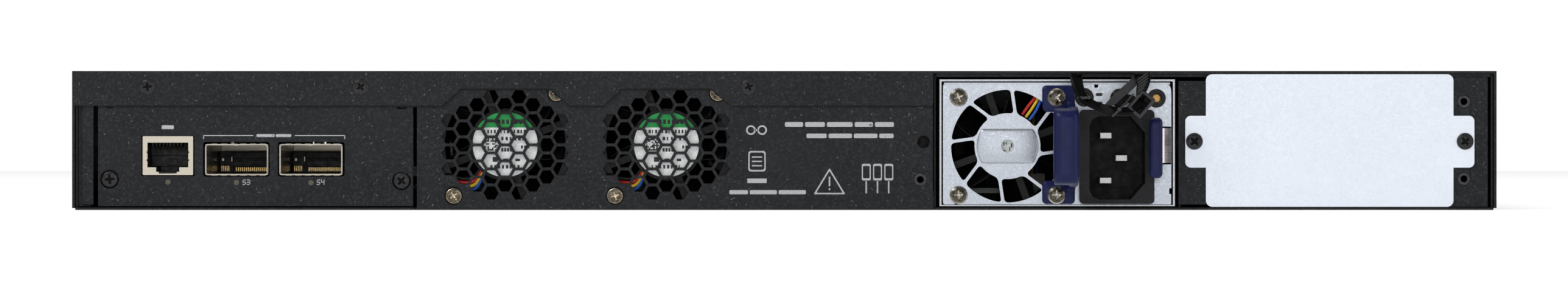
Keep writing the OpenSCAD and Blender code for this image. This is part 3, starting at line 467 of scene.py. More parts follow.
def add_screw(g, x, z, y, hr, hh, sr, sl, turn, k=0, dome=0.45, depth=0.75, shank=True):
    """cross-recess pan head: crown toward -Y, seat at y; one closed height-field head and a threaded shank"""
    seg, rings = 96, 30
    v, f, kk = [], [], []
    ca, sa = math.cos(turn), math.sin(turn)
    arm, wid = hr * 0.60, hr * 0.135
    def height(r, th):
        q = r / hr
        h = hh * (1 - dome * q ** 2.6) - hh * 0.22 * sstep(0.86, 1.0, q)
        px, pz = r * math.cos(th), r * math.sin(th)
        u, w = px * ca + pz * sa, -px * sa + pz * ca
        s = hr * 0.05
        cut = 0.0
        for a, b in ((abs(u), abs(w)), (abs(w), abs(u))):
            taper = 1 - 0.35 * a / arm
            e = (1 - sstep(wid * taper - s * 0.5, wid * taper + s, b)) * (1 - sstep(arm - s * 2.5, arm + s, a))
            cut = max(cut, e * (1 - 0.55 * a / arm))
        core = 1 - sstep(hr * 0.17, hr * 0.27, r)
        cut = max(cut, core * 0.95)
        return h - depth * hh * cut, cut
    v.append((x, y - height(0, 0)[0], z))
    for i in range(1, rings + 1):
        r = hr * (i / rings) ** 0.85
        for j in range(seg):
            th = 2 * math.pi * j / seg
            v.append((x + r * math.cos(th), y - height(r, th)[0], z + r * math.sin(th)))
    # painted light: recess faces take material k+1, rim and sides k+2, crown k; the callers give these lit and shaded
    # copies of one metal
    def tone(i, j):
        r = hr * (i / rings) ** 0.85
        return k + 1 if height(r, 2 * math.pi * (j + 0.5) / seg)[1] > 0.3 else (k + 2 if r > hr * 0.87 else k)
    kk += [k + 1] * seg
    for i in range(rings - 1):
        kk += [tone(i + 1.5, j) for j in range(seg)]
    kk += [k + 2] * (seg + 1)
    f += [(0, 1 + (j + 1) % seg, 1 + j) for j in range(seg)]
    for i in range(rings - 1):
        a, b = 1 + i * seg, 1 + (i + 1) * seg
        f += [(a + j, a + (j + 1) % seg, b + (j + 1) % seg, b + j) for j in range(seg)]
    a = 1 + (rings - 1) * seg
    n = len(v)
    v += [(x + hr * math.cos(2 * math.pi * j / seg), y, z + hr * math.sin(2 * math.pi * j / seg)) for j in range(seg)]
    f += [(a + j, a + (j + 1) % seg, n + (j + 1) % seg, n + j) for j in range(seg)]
    f.append(tuple(n + j for j in range(seg)))
    g.add(v, f, k)
    g.k[-len(kk):] = kk
    if shank:
        prof = [(sr * 0.82, y)]
        c = 0
        while y + c + 0.5 < y + sl - 0.4:
            prof += [(sr, y + c + 0.25), (sr * 0.82, y + c + 0.5)]
            c += 0.5
        prof += [(sr * 0.6, y + sl)]
        g.lathe(x, z, prof, 24, k)


YRm, P0m, P1m, YFm = YR / MM, P0 / MM, P1 / MM, YF / MM

# ------------------------------------------------------------------ screws
g = Geo()
for i, x in enumerate((-198.0, -131.7, -10.95)):
    add_screw(g, x, 38.4, YRm, 2.4, 0.78, 1.3, 5, (0.12, 0.62, 0.35)[i])
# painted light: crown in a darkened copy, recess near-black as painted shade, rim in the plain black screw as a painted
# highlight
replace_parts(g.build("flange_screws_detail", BLACK_SCREW, "chassis", slot="black_screw", mats=[CROWN_K_PAINTED_DARK, RECESS_PAINTED_SHADE, BLACK_SCREW]), "cover_screws")
g = Geo()
for i, (x, z, h) in enumerate(((-209.9, 9.6, 1.0), (-119.1, 9.1, 1.0), (-209.8, 34.6, 0.8), (-119.0, 34.3, 0.8))):
    add_screw(g, x, z, P1m - 0.15, 2.6, h, 1.25, 6, (0.1, 0.9, 0.4, 0.7)[i], dome=0.3)
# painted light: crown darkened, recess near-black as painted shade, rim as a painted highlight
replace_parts(g.build("module_screws_detail", BLACK_SCREW, "chassis", slot="black_screw", mats=[CROWN_K_PAINTED_DARK, RECESS_PAINTED_SHADE, BLACK_SCREW]), "module_screws")
g = Geo()
for i, (x, s) in enumerate(((-86.9, -1), (-86.9, 1), (-36.7, -1), (-36.7, 1))):
    add_screw(g, x + s * 16, 20.4 + s * 16, P1m - 0.15, 2.6, 0.8, 1.5, 8, (0.62, 0.15, 0.3, 0.9)[i], dome=0.25, depth=0.85)
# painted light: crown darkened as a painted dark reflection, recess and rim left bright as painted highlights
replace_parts(g.build("fan_screws_detail", ZINC_SCREW, "chassis", slot="bright_screw", mats=[CROWN_PAINTED_DARK, ZINC_SCREW, ZINC_SCREW]), "fan_screws")
g = Geo()
for i, x in enumerate((127.5, 211.7)):
    add_screw(g, x, 21.4, YRm, 2.6, 1.05, 1.3, 1.7, (0.78, 0.7)[i])
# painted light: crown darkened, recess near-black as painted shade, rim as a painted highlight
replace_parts(g.build("blank_screws_detail", BLACK_SCREW, "chassis", slot="black_screw", mats=[CROWN_K_PAINTED_DARK, RECESS_PAINTED_SHADE, BLACK_SCREW]), "blank_cover_screws")
g = Geo()
for i, (x, z, s) in enumerate(((54.2, 35.1, 0), (54.2, 4.7, 0), (84.6, 35.1, 1), (84.6, 4.7, 1))):
    add_screw(g, x, z, YRm - 1.6 * s, 2.8, 1.45, 1.55, 7 + 1.6 * s, (0.35, 0.05, 0.7, 0.0)[i], dome=0.5, depth=0.8)
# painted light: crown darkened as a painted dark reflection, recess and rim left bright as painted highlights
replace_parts(g.build("supply_screws_detail", STEEL_SCREW, "power_supply", slot="bright_screw", mats=[CROWN_PAINTED_DARK, STEEL_SCREW, STEEL_SCREW]), "psu_screws")


# ------------------------------------------------------------------ lofted pull handle
def loft(name, sections, mat, body, closed_ends=True, seg=28, power=3.2, **kw):
    """sections: (centre xyz, half width along X, half thickness across, direction across) swept superellipse"""
    v, f = [], []
    n = len(sections)
    for i, (c, a, b, nrm) in enumerate(sections):
        nrm = Vector(nrm).normalized()
        for j in range(seg):
            t = 2 * math.pi * j / seg
            ct, st = math.cos(t), math.sin(t)
            px = a * math.copysign(abs(ct) ** (2 / power), ct)
            pn = b * math.copysign(abs(st) ** (2 / power), st)
            v.append((c[0] + px, c[1] + nrm.y * pn, c[2] + nrm.z * pn))
    for i in range(n - 1):
        f += [(i * seg + j, i * seg + (j + 1) % seg, (i + 1) * seg + (j + 1) % seg, (i + 1) * seg + j) for j in range(seg)]
    f += [tuple(range(seg)), tuple(range(n * seg - 1, (n - 1) * seg - 1, -1))]
    return v, f


g = Geo()
# grip: rounded bar, its ends cut on a slant where the two arms meet it
hy = YRm - 22
secs = []
N1 = 30
for i in range(N1 + 1):
    t = i / N1
    z = 7.9 + (31.7 - 7.9) * t
    e = min(t, 1 - t) * N1 / 4.2
    k = math.sqrt(max(0.0, 1 - (1 - min(1.0, e)) ** 2)) if e < 1 else 1.0
    b = 3.15 * (0.42 + 0.58 * k)
    secs.append(((86.85, hy + 3.2 + (1 - k) * 1.4, z), 4.0 * (0.90 + 0.10 * k), b, (0, -1, 0)))
v, f = loft("", secs, None, None, power=3.0)
g.add(v, f)
for z0, s in ((31.0, 1), (8.5, -1)):
    path = [(89.2, hy + 4.4, z0 - s * 2.0), (89.2, hy + 6.6, z0 - s * 0.2), (89.2, hy + 10, z0), (89.2, hy + 16, z0), (89.2, hy + 20, z0 + s * 0.6), (88.9, YRm - 0.6, z0 + s * 1.8)]
    pts = smooth_path(path, 5)
    secs = []
    for i, p in enumerate(pts):
        tt = (pts[min(i + 1, len(pts) - 1)] - pts[max(0, i - 1)]).normalized()
        nr = Vector((0, -tt.z, tt.y))
        q = i / (len(pts) - 1)
        secs.append((tuple(p), 1.42, 1.18 + 0.5 * sstep(0.75, 1.0, q), tuple(nr)))
    v, f = loft("", secs, None, None, power=3.4)
    g.add(v, f)
def foot(z0, z1, x0=80.2, x1=90.3):
    """pad with round corners and a soft rim, screw recess left to the head"""
    r, n = 1.3, 6
    out = []
    for cx, cz, a0 in ((x1 - r, z1 - r, 0), (x0 + r, z1 - r, 90), (x0 + r, z0 + r, 180), (x1 - r, z0 + r, 270)):
        out += [(cx + r * math.cos(math.radians(a0 + 90 * k / n)), cz + r * math.sin(math.radians(a0 + 90 * k / n))) for k in range(n + 1)]
    cx, cz = (x0 + x1) / 2, (z0 + z1) / 2
    v, m = [], len(out)
    for sc, y in ((0.0, 0.0), (0.35, 0.12), (0.7, 1.0)):
        ins = 0.55 - sc * 0.55 / 0.7 if sc else 0.55
        v += [(cx + (p[0] - cx) * (1 - ins * 2 / (x1 - x0)), YRm - 1.6 + (0.0, 0.14, 0.5)[int(sc / 0.34)], cz + (p[1] - cz) * (1 - ins * 2 / (z1 - z0))) for p in out]
    v += [(p[0], YRm - 0.02, p[1]) for p in out]
    f = [tuple(range(m)), tuple(range(4 * m - 1, 3 * m - 1, -1))]
    for k in range(3):
        f += [(k * m + j, k * m + (j + 1) % m, (k + 1) * m + (j + 1) % m, (k + 1) * m + j) for j in range(m)]
    g.add(v, f)
foot(30.6, 38.8)
foot(1.9, 9.2)
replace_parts(g.build("pull_handle_moulding", BLUE, "power_supply", slot="blue_plastic", angle=50), "psu_handle")

# ------------------------------------------------------------------ latch tab: pill with soft edges
g = Geo()
secs = []
for i in range(25):
    t = i / 24
    z = 9.95 + 18.8 * t
    e = min(t, 1 - t) * 24 / 2.6
    k = math.sqrt(max(0.0, 1 - (1 - min(1.0, e)) ** 2)) if e < 1 else 1.0
    secs.append(((115.15, YRm - 7.35, z), 2.02 * (0.55 + 0.45 * k), 2.12 * (0.5 + 0.5 * k), (0, -1, 0)))
v, f = loft("", secs, None, None, power=3.6)
g.add(v, f)
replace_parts(g.build("squeeze_tab", BLUE, "supply_latch", slot="blue_plastic", angle=50), "latch_tab")

# ------------------------------------------------------------------ cord retainer
def band(g, pts, widths, thick, k=0, ribs=None, up=(0, -1, 0)):
    """flat strap lofted along a smooth path: rounded-rectangle section, width across the path, thickness along the section normal"""
    P = [Vector(p) for p in pts]
    n = len(P)
    v, f = [], []
    prof = []
    for sx, st in ((1, 0.55), (1, -0.55), (0.86, -1), (0.3, -1), (-0.3, -1), (-0.86, -1), (-1, -0.55), (-1, 0.55), (-0.86, 1), (-0.3, 1), (0.3, 1), (0.86, 1)):
        prof.append((sx, st))
    m = len(prof)
    for i, p in enumerate(P):
        t = (P[min(i + 1, n - 1)] - P[max(i - 1, 0)]).normalized()
        nn = Vector(up[i] if isinstance(up, list) else up)
        nn = (nn - t * nn.dot(t)).normalized()
        s = t.cross(nn)
        w = widths[i] / 2
        rib = 0.0
        if ribs: rib = ribs * (1 if (i // 2) % 2 else 0)
        for sx, st in prof:
            h = thick / 2 * st + (rib if (st > 0.9 and abs(sx) < 0.7) else 0)
            v.append(tuple(p + s * (w * sx) + nn * h))
    for i in range(n - 1):
        f += [(i * m + j, i * m + (j + 1) % m, (i + 1) * m + (j + 1) % m, (i + 1) * m + j) for j in range(m)]
    f += [tuple(range(m)), tuple(range(n * m - 1, (n - 1) * m - 1, -1))]
    g.add(v, f, k)


def lerp_list(vals, n):
    out = []
    for i in range(n):
        t = i / (n - 1) * (len(vals) - 1)
        a = min(int(t), len(vals) - 2)
        out.append(vals[a] + (vals[a + 1] - vals[a]) * (t - a))
    return out


def lerp_vecs(vals, n):
    out = []
    for i in range(n):
        t = i / (n - 1) * (len(vals) - 1)
        a = min(int(t), len(vals) - 2)
        out.append(tuple(Vector(vals[a]).lerp(Vector(vals[a + 1]), t - a)))
    return out


g = Geo()
# the loop: up at the left, over the top in front of the cover edge, down the ribbed side
left = smooth_path([(109.9, YRm - 17.2, 33.0), (106.5, YRm - 18.3, 31.0), (102.4, YRm - 19.3, 30.9), (98.4, YRm - 19.6, 31.6), (94.8, YRm - 19.3, 32.9), (92.0, YRm - 18.6, 35.0), (90.6, YRm - 17.6, 38.0), (90.0, YRm - 16.4, 41.2), (89.9, YRm - 15.6, 42.3)], 7)
nl = len(left)
band(g, left, lerp_list([2.4, 2.4, 2.6, 2.7, 2.9, 3.5, 3.8, 3.9, 3.9], nl), 1.15, up=lerp_vecs([(0, -1, 0.2), (0, -1, 0.5), (0, -0.9, 0.9), (0.1, -0.9, 0.9), (0.5, -0.9, 0.6), (0.8, -1, 0.3), (0.6, -1, 0.1), (0.3, -1, 0), (0.2, -1, 0)], nl))
# collar where the band leaves its fold, in the lit nylon copy as a painted highlight
band(g, [(90.3, YRm - 19.35, 35.0), (92.0, YRm - 19.75, 34.75), (93.9, YRm - 19.7, 34.9)], [0.8, 0.9, 0.8], 0.7, k=1, up=(0.2, -1, 0.1))
g.lathe(93.8, 34.9, [(0, YRm - 20.35), (0.45, YRm - 20.3), (0.6, YRm - 20.1), (0.6, YRm - 19.0), (0, YRm - 19.0)], 18, 1)
tail = smooth_path([(97.2, YRm - 20.1, 31.7), (99.4, YRm - 20.4, 31.1), (100.6, YRm - 20.5, 30.1), (101.3, YRm - 20.5, 29.0)], 5)
band(g, tail, lerp_list([2.2, 2.5, 1.9, 0.6], len(tail)), 0.9)
# edge strip with its release knob, in the lit nylon copy as a painted highlight
strip = smooth_path([(100.9, YRm - 20.7, 29.0), (102.9, YRm - 20.8, 31.0), (105.2, YRm - 20.2, 33.4), (107.4, YRm - 19.3, 35.9)], 6)
band(g, strip, lerp_list([0.75, 0.7, 0.55, 0.45], len(strip)), 0.75, k=1)
g.lathe(103.1, 31.2, [(0, YRm - 21.55), (0.5, YRm - 21.5), (0.7, YRm - 21.25), (0.7, YRm - 20.4), (0, YRm - 20.4)], 20, 1)
# cross band in the lit nylon copy as a painted highlight
cross = smooth_path([(99.2, YRm - 17.9, 32.2), (101.4, YRm - 17.4, 33.9), (104.0, YRm - 16.9, 36.2), (107.0, YRm - 16.4, 38.9), (109.0, YRm - 16.2, 41.2)], 7)
band(g, cross, lerp_list([1.4, 2.4, 2.6, 2.6, 2.5], len(cross)), 0.8, k=1, up=(0.3, -1, 0.15))
rib = smooth_path([(109.8, YRm - 16.2, 34.4), (109.9, YRm - 17.9, 36.6), (110.4, YRm - 18.5, 38.6), (110.6, YRm - 18.4, 40.6), (110.3, YRm - 17.6, 42.2)], 9)
nr = len(rib)
rw = lerp_list([2.3, 2.9, 3.8, 4.6, 5.0], nr)
band(g, rib, rw, 1.0, up=(-0.25, -1, 0.1))
# rib bars in the lit nylon copy as a painted highlight
for q in range(3, nr - 3, 4):
    a = rib[q] + Vector((-0.1, -0.66, 0.05))
    h = rw[q] * 0.36
    e0, e1 = a + Vector((-h, 0.10, -h * 0.75)), a + Vector((h, -0.06, h * 0.75))
    band(g, [e0, (e0 + e1) * 0.5, e1], [0.42, 0.5, 0.42], 0.55, k=1, up=(-0.2, -1, 0.1))
over = smooth_path([(89.9, YRm - 16.0, 42.05), (93.5, YRm - 16.4, 42.45), (99.9, YRm - 16.7, 42.5), (106.3, YRm - 16.9, 42.45), (110.4, YRm - 17.2, 42.05)], 6)
band(g, over, lerp_list([2.6, 3.2, 3.4, 3.6, 3.0], len(over)), 0.85, up=(0, 0, 1))
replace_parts(g.build("retainer_band", NYLON, "cord_retainer", slot="black_plastic", angle=40, mats=[NYLON, NYLON_PAINTED_LIT]), "retainer_strap")

g = Geo()
# square head: ring with rounded rim, a pawl inside, on its arm and push-in stem
c0, s0 = math.cos(math.radians(50)), math.sin(math.radians(50))
def hp(u, w): return (110.0 + u * c0 - w * s0, 32.9 + u * s0 + w * c0)
def ring_box(g, hu, hw, iu, iw, y0, y1, r=0.5, c=0.35):
    def rrect(a, b, rad, n=4):
        o = []
        for sx, sz, a0 in ((1, 1, 0), (-1, 1, 90), (-1, -1, 180), (1, -1, 270)):
            for q in range(n + 1):
                t = math.radians(a0 + 90 * q / n)
                o.append((sx * (a - rad) + rad * math.cos(t), sz * (b - rad) + rad * math.sin(t)))
        return o
    loops = [(rrect(hu, hw, r), y1), (rrect(hu, hw, r), y0 + c), (rrect(hu - c, hw - c, r), y0), (rrect(iu + c * 0.6, iw + c * 0.6, r * 0.8), y0), (rrect(iu, iw, r * 0.6), y0 + c * 0.8), (rrect(iu, iw, r * 0.6), y1)]
    v, f = [], []
    m = len(loops[0][0])
    for lp, y in loops:
        v += [(hp(*p)[0], y, hp(*p)[1]) for p in lp]
    L = len(loops)
    for a in range(L):
        b = (a + 1) % L
        f += [(a * m + j, a * m + (j + 1) % m, b * m + (j + 1) % m, b * m + j) for j in range(m)]
    g.add(v, f)
ring_box(g, 3.78, 2.68, 2.75, 1.7, YRm - 18.9, YRm - 11.6)
# painted highlight: the ring takes the lit nylon copy
g.k = [1] * len(g.k)
def obox(u0, u1, w0, w1, y0, y1):
    pts = [hp(u0, w0), hp(u1, w0), hp(u1, w1), hp(u0, w1)]
    g.prism(pts, y0, y1)
obox(-2.7, -1.1, -1.65, 1.65, YRm - 15.6, YRm - 12.2)
obox(1.3, 2.7, -1.65, 1.65, YRm - 16.4, YRm - 12.0)
obox(-1.1, 0.1, -0.5, 0.5, YRm - 14.6, YRm - 12.6)
obox(-3.0, 3.0, -1.95, 1.95, YRm - 12.5, YRm - 11.75)
g.lathe(104.2, 34.9, [(0, YRm - 13.1), (1.2, YRm - 13.1), (1.6, YRm - 12.7), (1.6, YRm - 1.9), (2.4, YRm - 1.6), (2.8, YRm - 1.35), (2.9, YRm - 1.0), (2.9, YRm - 0.38), (1.95, YRm - 0.36), (1.95, YRm + 2.2), (1.5, YRm + 2.6), (0, YRm + 2.6)], 36)
arm = smooth_path([(103.6, YRm - 12.35, 34.95), (105.6, YRm - 12.35, 34.8), (107.6, YRm - 12.35, 34.3), (109.0, YRm - 12.4, 33.9)], 5)
band(g, arm, lerp_list([2.6, 2.7, 2.6, 2.2], len(arm)), 1.4)
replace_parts(g.build("retainer_head_moulding", NYLON, "cord_retainer", slot="black_plastic", angle=40, mats=[NYLON, NYLON_PAINTED_LIT]), "retainer_head")

# ------------------------------------------------------------------ fan rotors with twisted, cambered blades
def rotor(name, node, body, x, z, y0, d, rt, rh, n, lean):
    g = Geo()
    seg = 48
    g.lathe(x, z, [(0, y0 + d - 3.1), (rh - 1.2, y0 + d - 3.1), (rh - 0.35, y0 + d - 3.5), (rh, y0 + d - 4.3), (rh, y0 + 4.6), (rh - 0.25, y0 + 4.25), (rh - 1.0, y0 + 4.25), (rh - 1.0, y0 + d - 4.5), (1.5, y0 + d - 4.5), (1.5, y0 + 2.2), (1.2, y0 + 2.0), (0, y0 + 2.0)], seg)
    yc, half = y0 + 4.2 + (d - 6) / 2, (d - 6.4) / 2
    for b in range(n):
        base = 2 * math.pi * b / n
        nu, nr_ = 12, 6
        v = []
        for side in (1, -1):
            for i in range(nr_ + 1):
                q = i / nr_
                r = rh - 0.3 + (rt - rh + 0.3) * q
                wrap = math.radians(50 - 14 * q) * lean
                hh = half * (0.98 - 0.06 * q)
                for j in range(nu + 1):
                    t = j / nu
                    camber = 0.16 * math.sin(math.pi * t) * lean
                    ang = base + wrap * (t - 0.5) + camber + 0.10 * lean * q
                    th = (0.50 * math.sqrt(max(0.02, math.sin(math.pi * min(0.98, t + 0.02)))) + 0.08) * (1 - 0.35 * q)
                    ang += side * th / r * 0.7
                    y = yc - hh + 2 * hh * t
                    v.append((x + r * math.cos(ang), y, z + r * math.sin(ang)))
        w = nu + 1
        s = (nr_ + 1) * w
        f = []
        for i in range(nr_):
            for j in range(nu):
                a = i * w + j
                f.append((a, a + 1, a + w + 1, a + w))
                f.append((s + a, s + a + w, s + a + w + 1, s + a + 1))
        for i in range(nr_):
            a = i * w
            f.append((a, a + w, s + a + w, s + a))
            a = i * w + nu
            f.append((a, s + a, s + a + w, a + w))
        for j in range(nu):
            f.append((j, s + j, s + j + 1, j + 1))
            a = nr_ * w + j
            f.append((a, a + 1, s + a + 1, s + a))
        g.add(v, f)
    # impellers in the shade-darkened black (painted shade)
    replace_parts(g.build(name, FAN_BLACK_PAINTED_SHADE, body, slot="black_plastic", angle=40), node)


FYm = P1m + 0.05
rotor("impeller_1", "fan_1_rotor", "fan_1", -86.9, 20.4, FYm, 28, 18.1, 11, 7, 1)
rotor("impeller_2", "fan_2_rotor", "fan_2", -36.7, 20.4, FYm, 28, 18.1, 11, 7, 1)
rotor("supply_impeller", "psu_fan_rotor", "supply_fan", 69.4, 19.9, YRm + 0.85, 28, 17.0, 9.4, 5, -1)


# ------------------------------------------------------------------ plates with shaped holes
from mathutils.geometry import tessellate_polygon
from mathutils.bvhtree import BVHTree


def circ(x, z, r, n=32, a0=0.0):
    return [(x + r * math.cos(a0 + 2 * math.pi * i / n), z + r * math.sin(a0 + 2 * math.pi * i / n)) for i in range(n)]


def rnd(pts, rad, n=5):
    """outline with each corner replaced by a quadratic arc of the given reach"""
    out = []
    m = len(pts)
    for i in range(m):
        p, a, b = Vector(pts[i]), Vector(pts[i - 1]), Vector(pts[(i + 1) % m])
        r = rad[i] if isinstance(rad, (list, tuple)) else rad
        if r <= 0:
            out.append(tuple(p))
            continue
        u, w = a - p, b - p
        ra, rb = min(r, u.length * 0.48), min(r, w.length * 0.48)
        s, e = p + u.normalized() * ra, p + w.normalized() * rb
        for j in range(n + 1):
            t = j / n
            q = s * (1 - t) ** 2 + p * 2 * t * (1 - t) + e * t * t
            out.append((q.x, q.y))
    return out


def rect(x0, x1, z0, z1):
    return [(x0, z0), (x1, z0), (x1, z1), (x0, z1)]


def plate(g, outline, holes, y0, y1, k=0):
    loops = [outline] + holes
    tris = tessellate_polygon([[Vector((p[0], p[1], 0)) for p in lp] for lp in loops])
    flat = [p for lp in loops for p in lp]
    n = len(flat)
    v = [(p[0], y0, p[1]) for p in flat] + [(p[0], y1, p[1]) for p in flat]
    f = [tuple(t) for t in tris] + [tuple(i + n for i in reversed(t)) for t in tris]
    s = 0
    for lp in loops:
        m = len(lp)
        f += [(s + i, s + (i + 1) % m, n + s + (i + 1) % m, n + s + i) for i in range(m)]
        s += m
    g.add(v, f, k)


def soften(o, width, angle=40, seg=2):
    b = o.modifiers.new("edge", "BEVEL")
    b.width, b.segments, b.limit_method, b.angle_limit = width * MM, seg, "ANGLE", math.radians(angle)
    b.use_clamp_overlap = True
    o.modifiers.new("wn", "WEIGHTED_NORMAL").keep_sharp = True
    return o


# ------------------------------------------------------------------ raised flecks in the powder coat, coloured lighter than the coat as a painted highlight
BLACK = ("rear_panel", "module_plate", "top_cover", "base_tray", "corner_strip", "bay_end_plate", "bay_divider", "bay_top_lip")
vv, ff, own = [], [], []
for name, o in N.items():
    if name in ("psu_handle", "retainer_strap", "retainer_head") or len(o.data.vertices) > 60000: continue
    n0 = len(vv)
    vv += [o.matrix_world @ q.co for q in o.data.vertices]
    for p in o.data.polygons:
        ff.append(tuple(n0 + i for i in p.vertices))
        own.append(name)
TREE = BVHTree.FromPolygons(vv, ff)


def hit(x, z, y=YRm - 30, back=False):
    h = TREE.ray_cast(Vector((x, y, z)) * MM, Vector((0, -1 if back else 1, 0)))
    return (h[0].y / MM, own[h[2]]) if h[0] is not None else (None, None)


rng = random.Random(31)
g = Geo()
placed = 0
KEEP_OUT = [(-12.6, 34.8, 4.0, 28.4), (-17.6, 7.2, 4.0, 7.2), (-182, -135, 7.4, 25.5), (-200.5, -183, 7.4, 27.2)]
while placed < 6200:
    x, z = rng.uniform(-221, 221), rng.uniform(0.6, 42.4)
    big = rng.random()
    r = 0.10 + 0.15 * big ** 2 + (0.13 if big > 0.9 else 0)
    placed += 1
    if any(a < x < b and c < z < d for a, b, c, d in KEEP_OUT) and rng.random() < 0.8: continue
    y, who = hit(x, z)
    if who not in BLACK or y > P1m + 1: continue
    if any(hit(x + dx, z + dz)[0] is None or abs(hit(x + dx, z + dz)[0] - y) > 0.02 for dx, dz in ((r * 2, 0), (-r * 2, 0), (0, r * 2), (0, -r * 2))): continue
    ang, el = rng.uniform(0, math.pi), rng.uniform(1.0, 2.1)
    h = r * rng.uniform(0.65, 1.05)
    ca, sa = math.cos(ang), math.sin(ang)
    n = 7
    v, f = [(x + rng.uniform(-0.2, 0.2) * r, y - h, z + rng.uniform(-0.2, 0.2) * r)], []
    rad = [r * rng.uniform(0.7, 1.15) for _ in range(n)]
    for sc, yy in ((0.55, y - h * 0.82), (1.0, y + 0.02)):
        for j in range(n):
            t = 2 * math.pi * j / n
            a, b = rad[j] * math.cos(t) * el * sc, rad[j] * math.sin(t) / el * sc
            v.append((x + a * ca - b * sa, yy, z + a * sa + b * ca))
    f += [(0, 1 + (j + 1) % n, 1 + j) for j in range(n)]
    f += [(1 + j, 1 + (j + 1) % n, 1 + n + (j + 1) % n, 1 + n + j) for j in range(n)]
    f.append(tuple(1 + n + j for j in range(n)))
    g.add(v, f)
g.build("coat_flecks", POWDER_FLECK_PAINTED_LIT, "chassis", slot="black_powder_coat", angle=60)

# ------------------------------------------------------------------ printed marks on the panels (plain shapes only)
g = Geo()
T = 0.035


def bar(x0, x1, z0, z1, y=None, k=0, r=0.12):
    y = P0m if y is None else y
    g.prism(rnd(rect(x0, x1, z0, z1), r, 3), y - T, y + 0.02, k)


def words(x0, x1, z0, z1, n, k=0, y=None, seed=1):
    """a text-like line made of plain short bars"""
    q = random.Random(seed)
    w = [q.uniform(0.6, 1.5) for _ in range(n)]
    gap = (z1 - z0) * 0.42
    tot = (x1 - x0) - gap * (n - 1)
    x = x0
    for s in w:
        d = tot * s / sum(w)
        bar(x, x + d, z0, z1, y, k, (z1 - z0) * 0.3)
        x += d + gap


def ring(x, z, r, t, k=0, y=None, n=40):
    y = P0m if y is None else y
    plate(g, circ(x, z, r, n), [circ(x, z, r - t, n)], y - T, y + 0.02, k)


def outline_poly(pts, t, k=0, y=None):
    y = P0m if y is None else y
    cx, cz = sum(p[0] for p in pts) / len(pts), sum(p[1] for p in pts) / len(pts)
    R = min(math.hypot((pts[i][0] + pts[(i + 1) % len(pts)][0]) / 2 - cx, (pts[i][1] + pts[(i + 1) % len(pts)][1]) / 2 - cz) for i in range(len(pts)))
    s = 1 - t / R
    plate(g, pts, [[(cx + (p[0] - cx) * s, cz + (p[1] - cz) * s) for p in pts]], y - T, y + 0.02, k)


def digit(d, x, z, w, h, t=0.24, k=0, y=None):
    seg = {"3": "abgcd", "4": "fgbc", "5": "afgcd", "1": "bc", "2": "abged", "6": "afgecd", "7": "abc", "8": "abcdefg", "9": "abfgcd", "0": "abcdef"}[d]
    m = z + h / 2
    for s in seg:
        x0, x1, z0, z1 = {"a": (x, x + w, z + h - t, z + h), "g": (x, x + w, m - t / 2, m + t / 2), "d": (x, x + w, z, z + t), "f": (x, x + t, m, z + h), "b": (x + w - t, x + w, m, z + h), "e": (x, x + t, z, m), "c": (x + w - t, x + w, z, m)}[s]
        bar(x0, x1, z0, z1, y, k, 0.08)


PM = hit(-170, 24.6)[0]
for a, b, c in ((-180.8, -165.2, -1), (-152.3, -136.6, 1)):
    bar(a, b, 23.06, 23.34, PM, r=0.05)
    e = a if c < 0 else b - 0.27
    bar(e, e + 0.27, 22.1, 23.2, PM, r=0.05)
words(-164.2, -153.4, 22.75, 23.65, 2, y=PM, seed=4)
words(-193.7, -189.9, 25.2, 26.4, 1, y=PM, seed=2)
for t, x in (("53", -168.55), ("54", -145.45)):
    for i, d in enumerate(t):
        digit(d, x + i * 1.35, 7.85, 1.05, 1.65, y=PM)
ring(-10.4, 24.9, 1.5, 0.5)
ring(-6.9, 24.9, 1.5, 0.5)
bar(-9.2, -8.1, 24.6, 25.2)
words(0.2, 34.1, 25.9, 27.4, 5, seed=11)
words(6.9, 34.0, 22.4, 23.8, 4, seed=12)
outline_poly(rnd(rect(-11.2, -5.8, 12.0, 18.4), 0.9), 0.42)
for i in range(3): bar(-10.1, -6.9, 13.6 + i * 1.35, 14.0 + i * 1.35)
bar(-11.5, -5.5, 8.4, 9.8, r=0.05)
words(-17.1, 6.7, 4.9, 6.2, 3, seed=13)
outline_poly(rnd([(9.1, 4.9), (19.0, 4.9), (14.05, 13.1)], 0.5), 0.45)
for q in ((13.8, 14.3, 7.4, 10.4), (13.8, 14.3, 6.2, 6.8)): bar(*q)
for i in range(3):
    outline_poly(rnd(rect(24.1 + i * 3.5, 26.9 + i * 3.5, 9.2, 14.4), 0.6), 0.36)
    bar(25.25 + i * 3.5, 25.7 + i * 3.5, 5.2, 9.0)
g.build("panel_prints", PRINT, "chassis", slot="label_film", smooth=False)

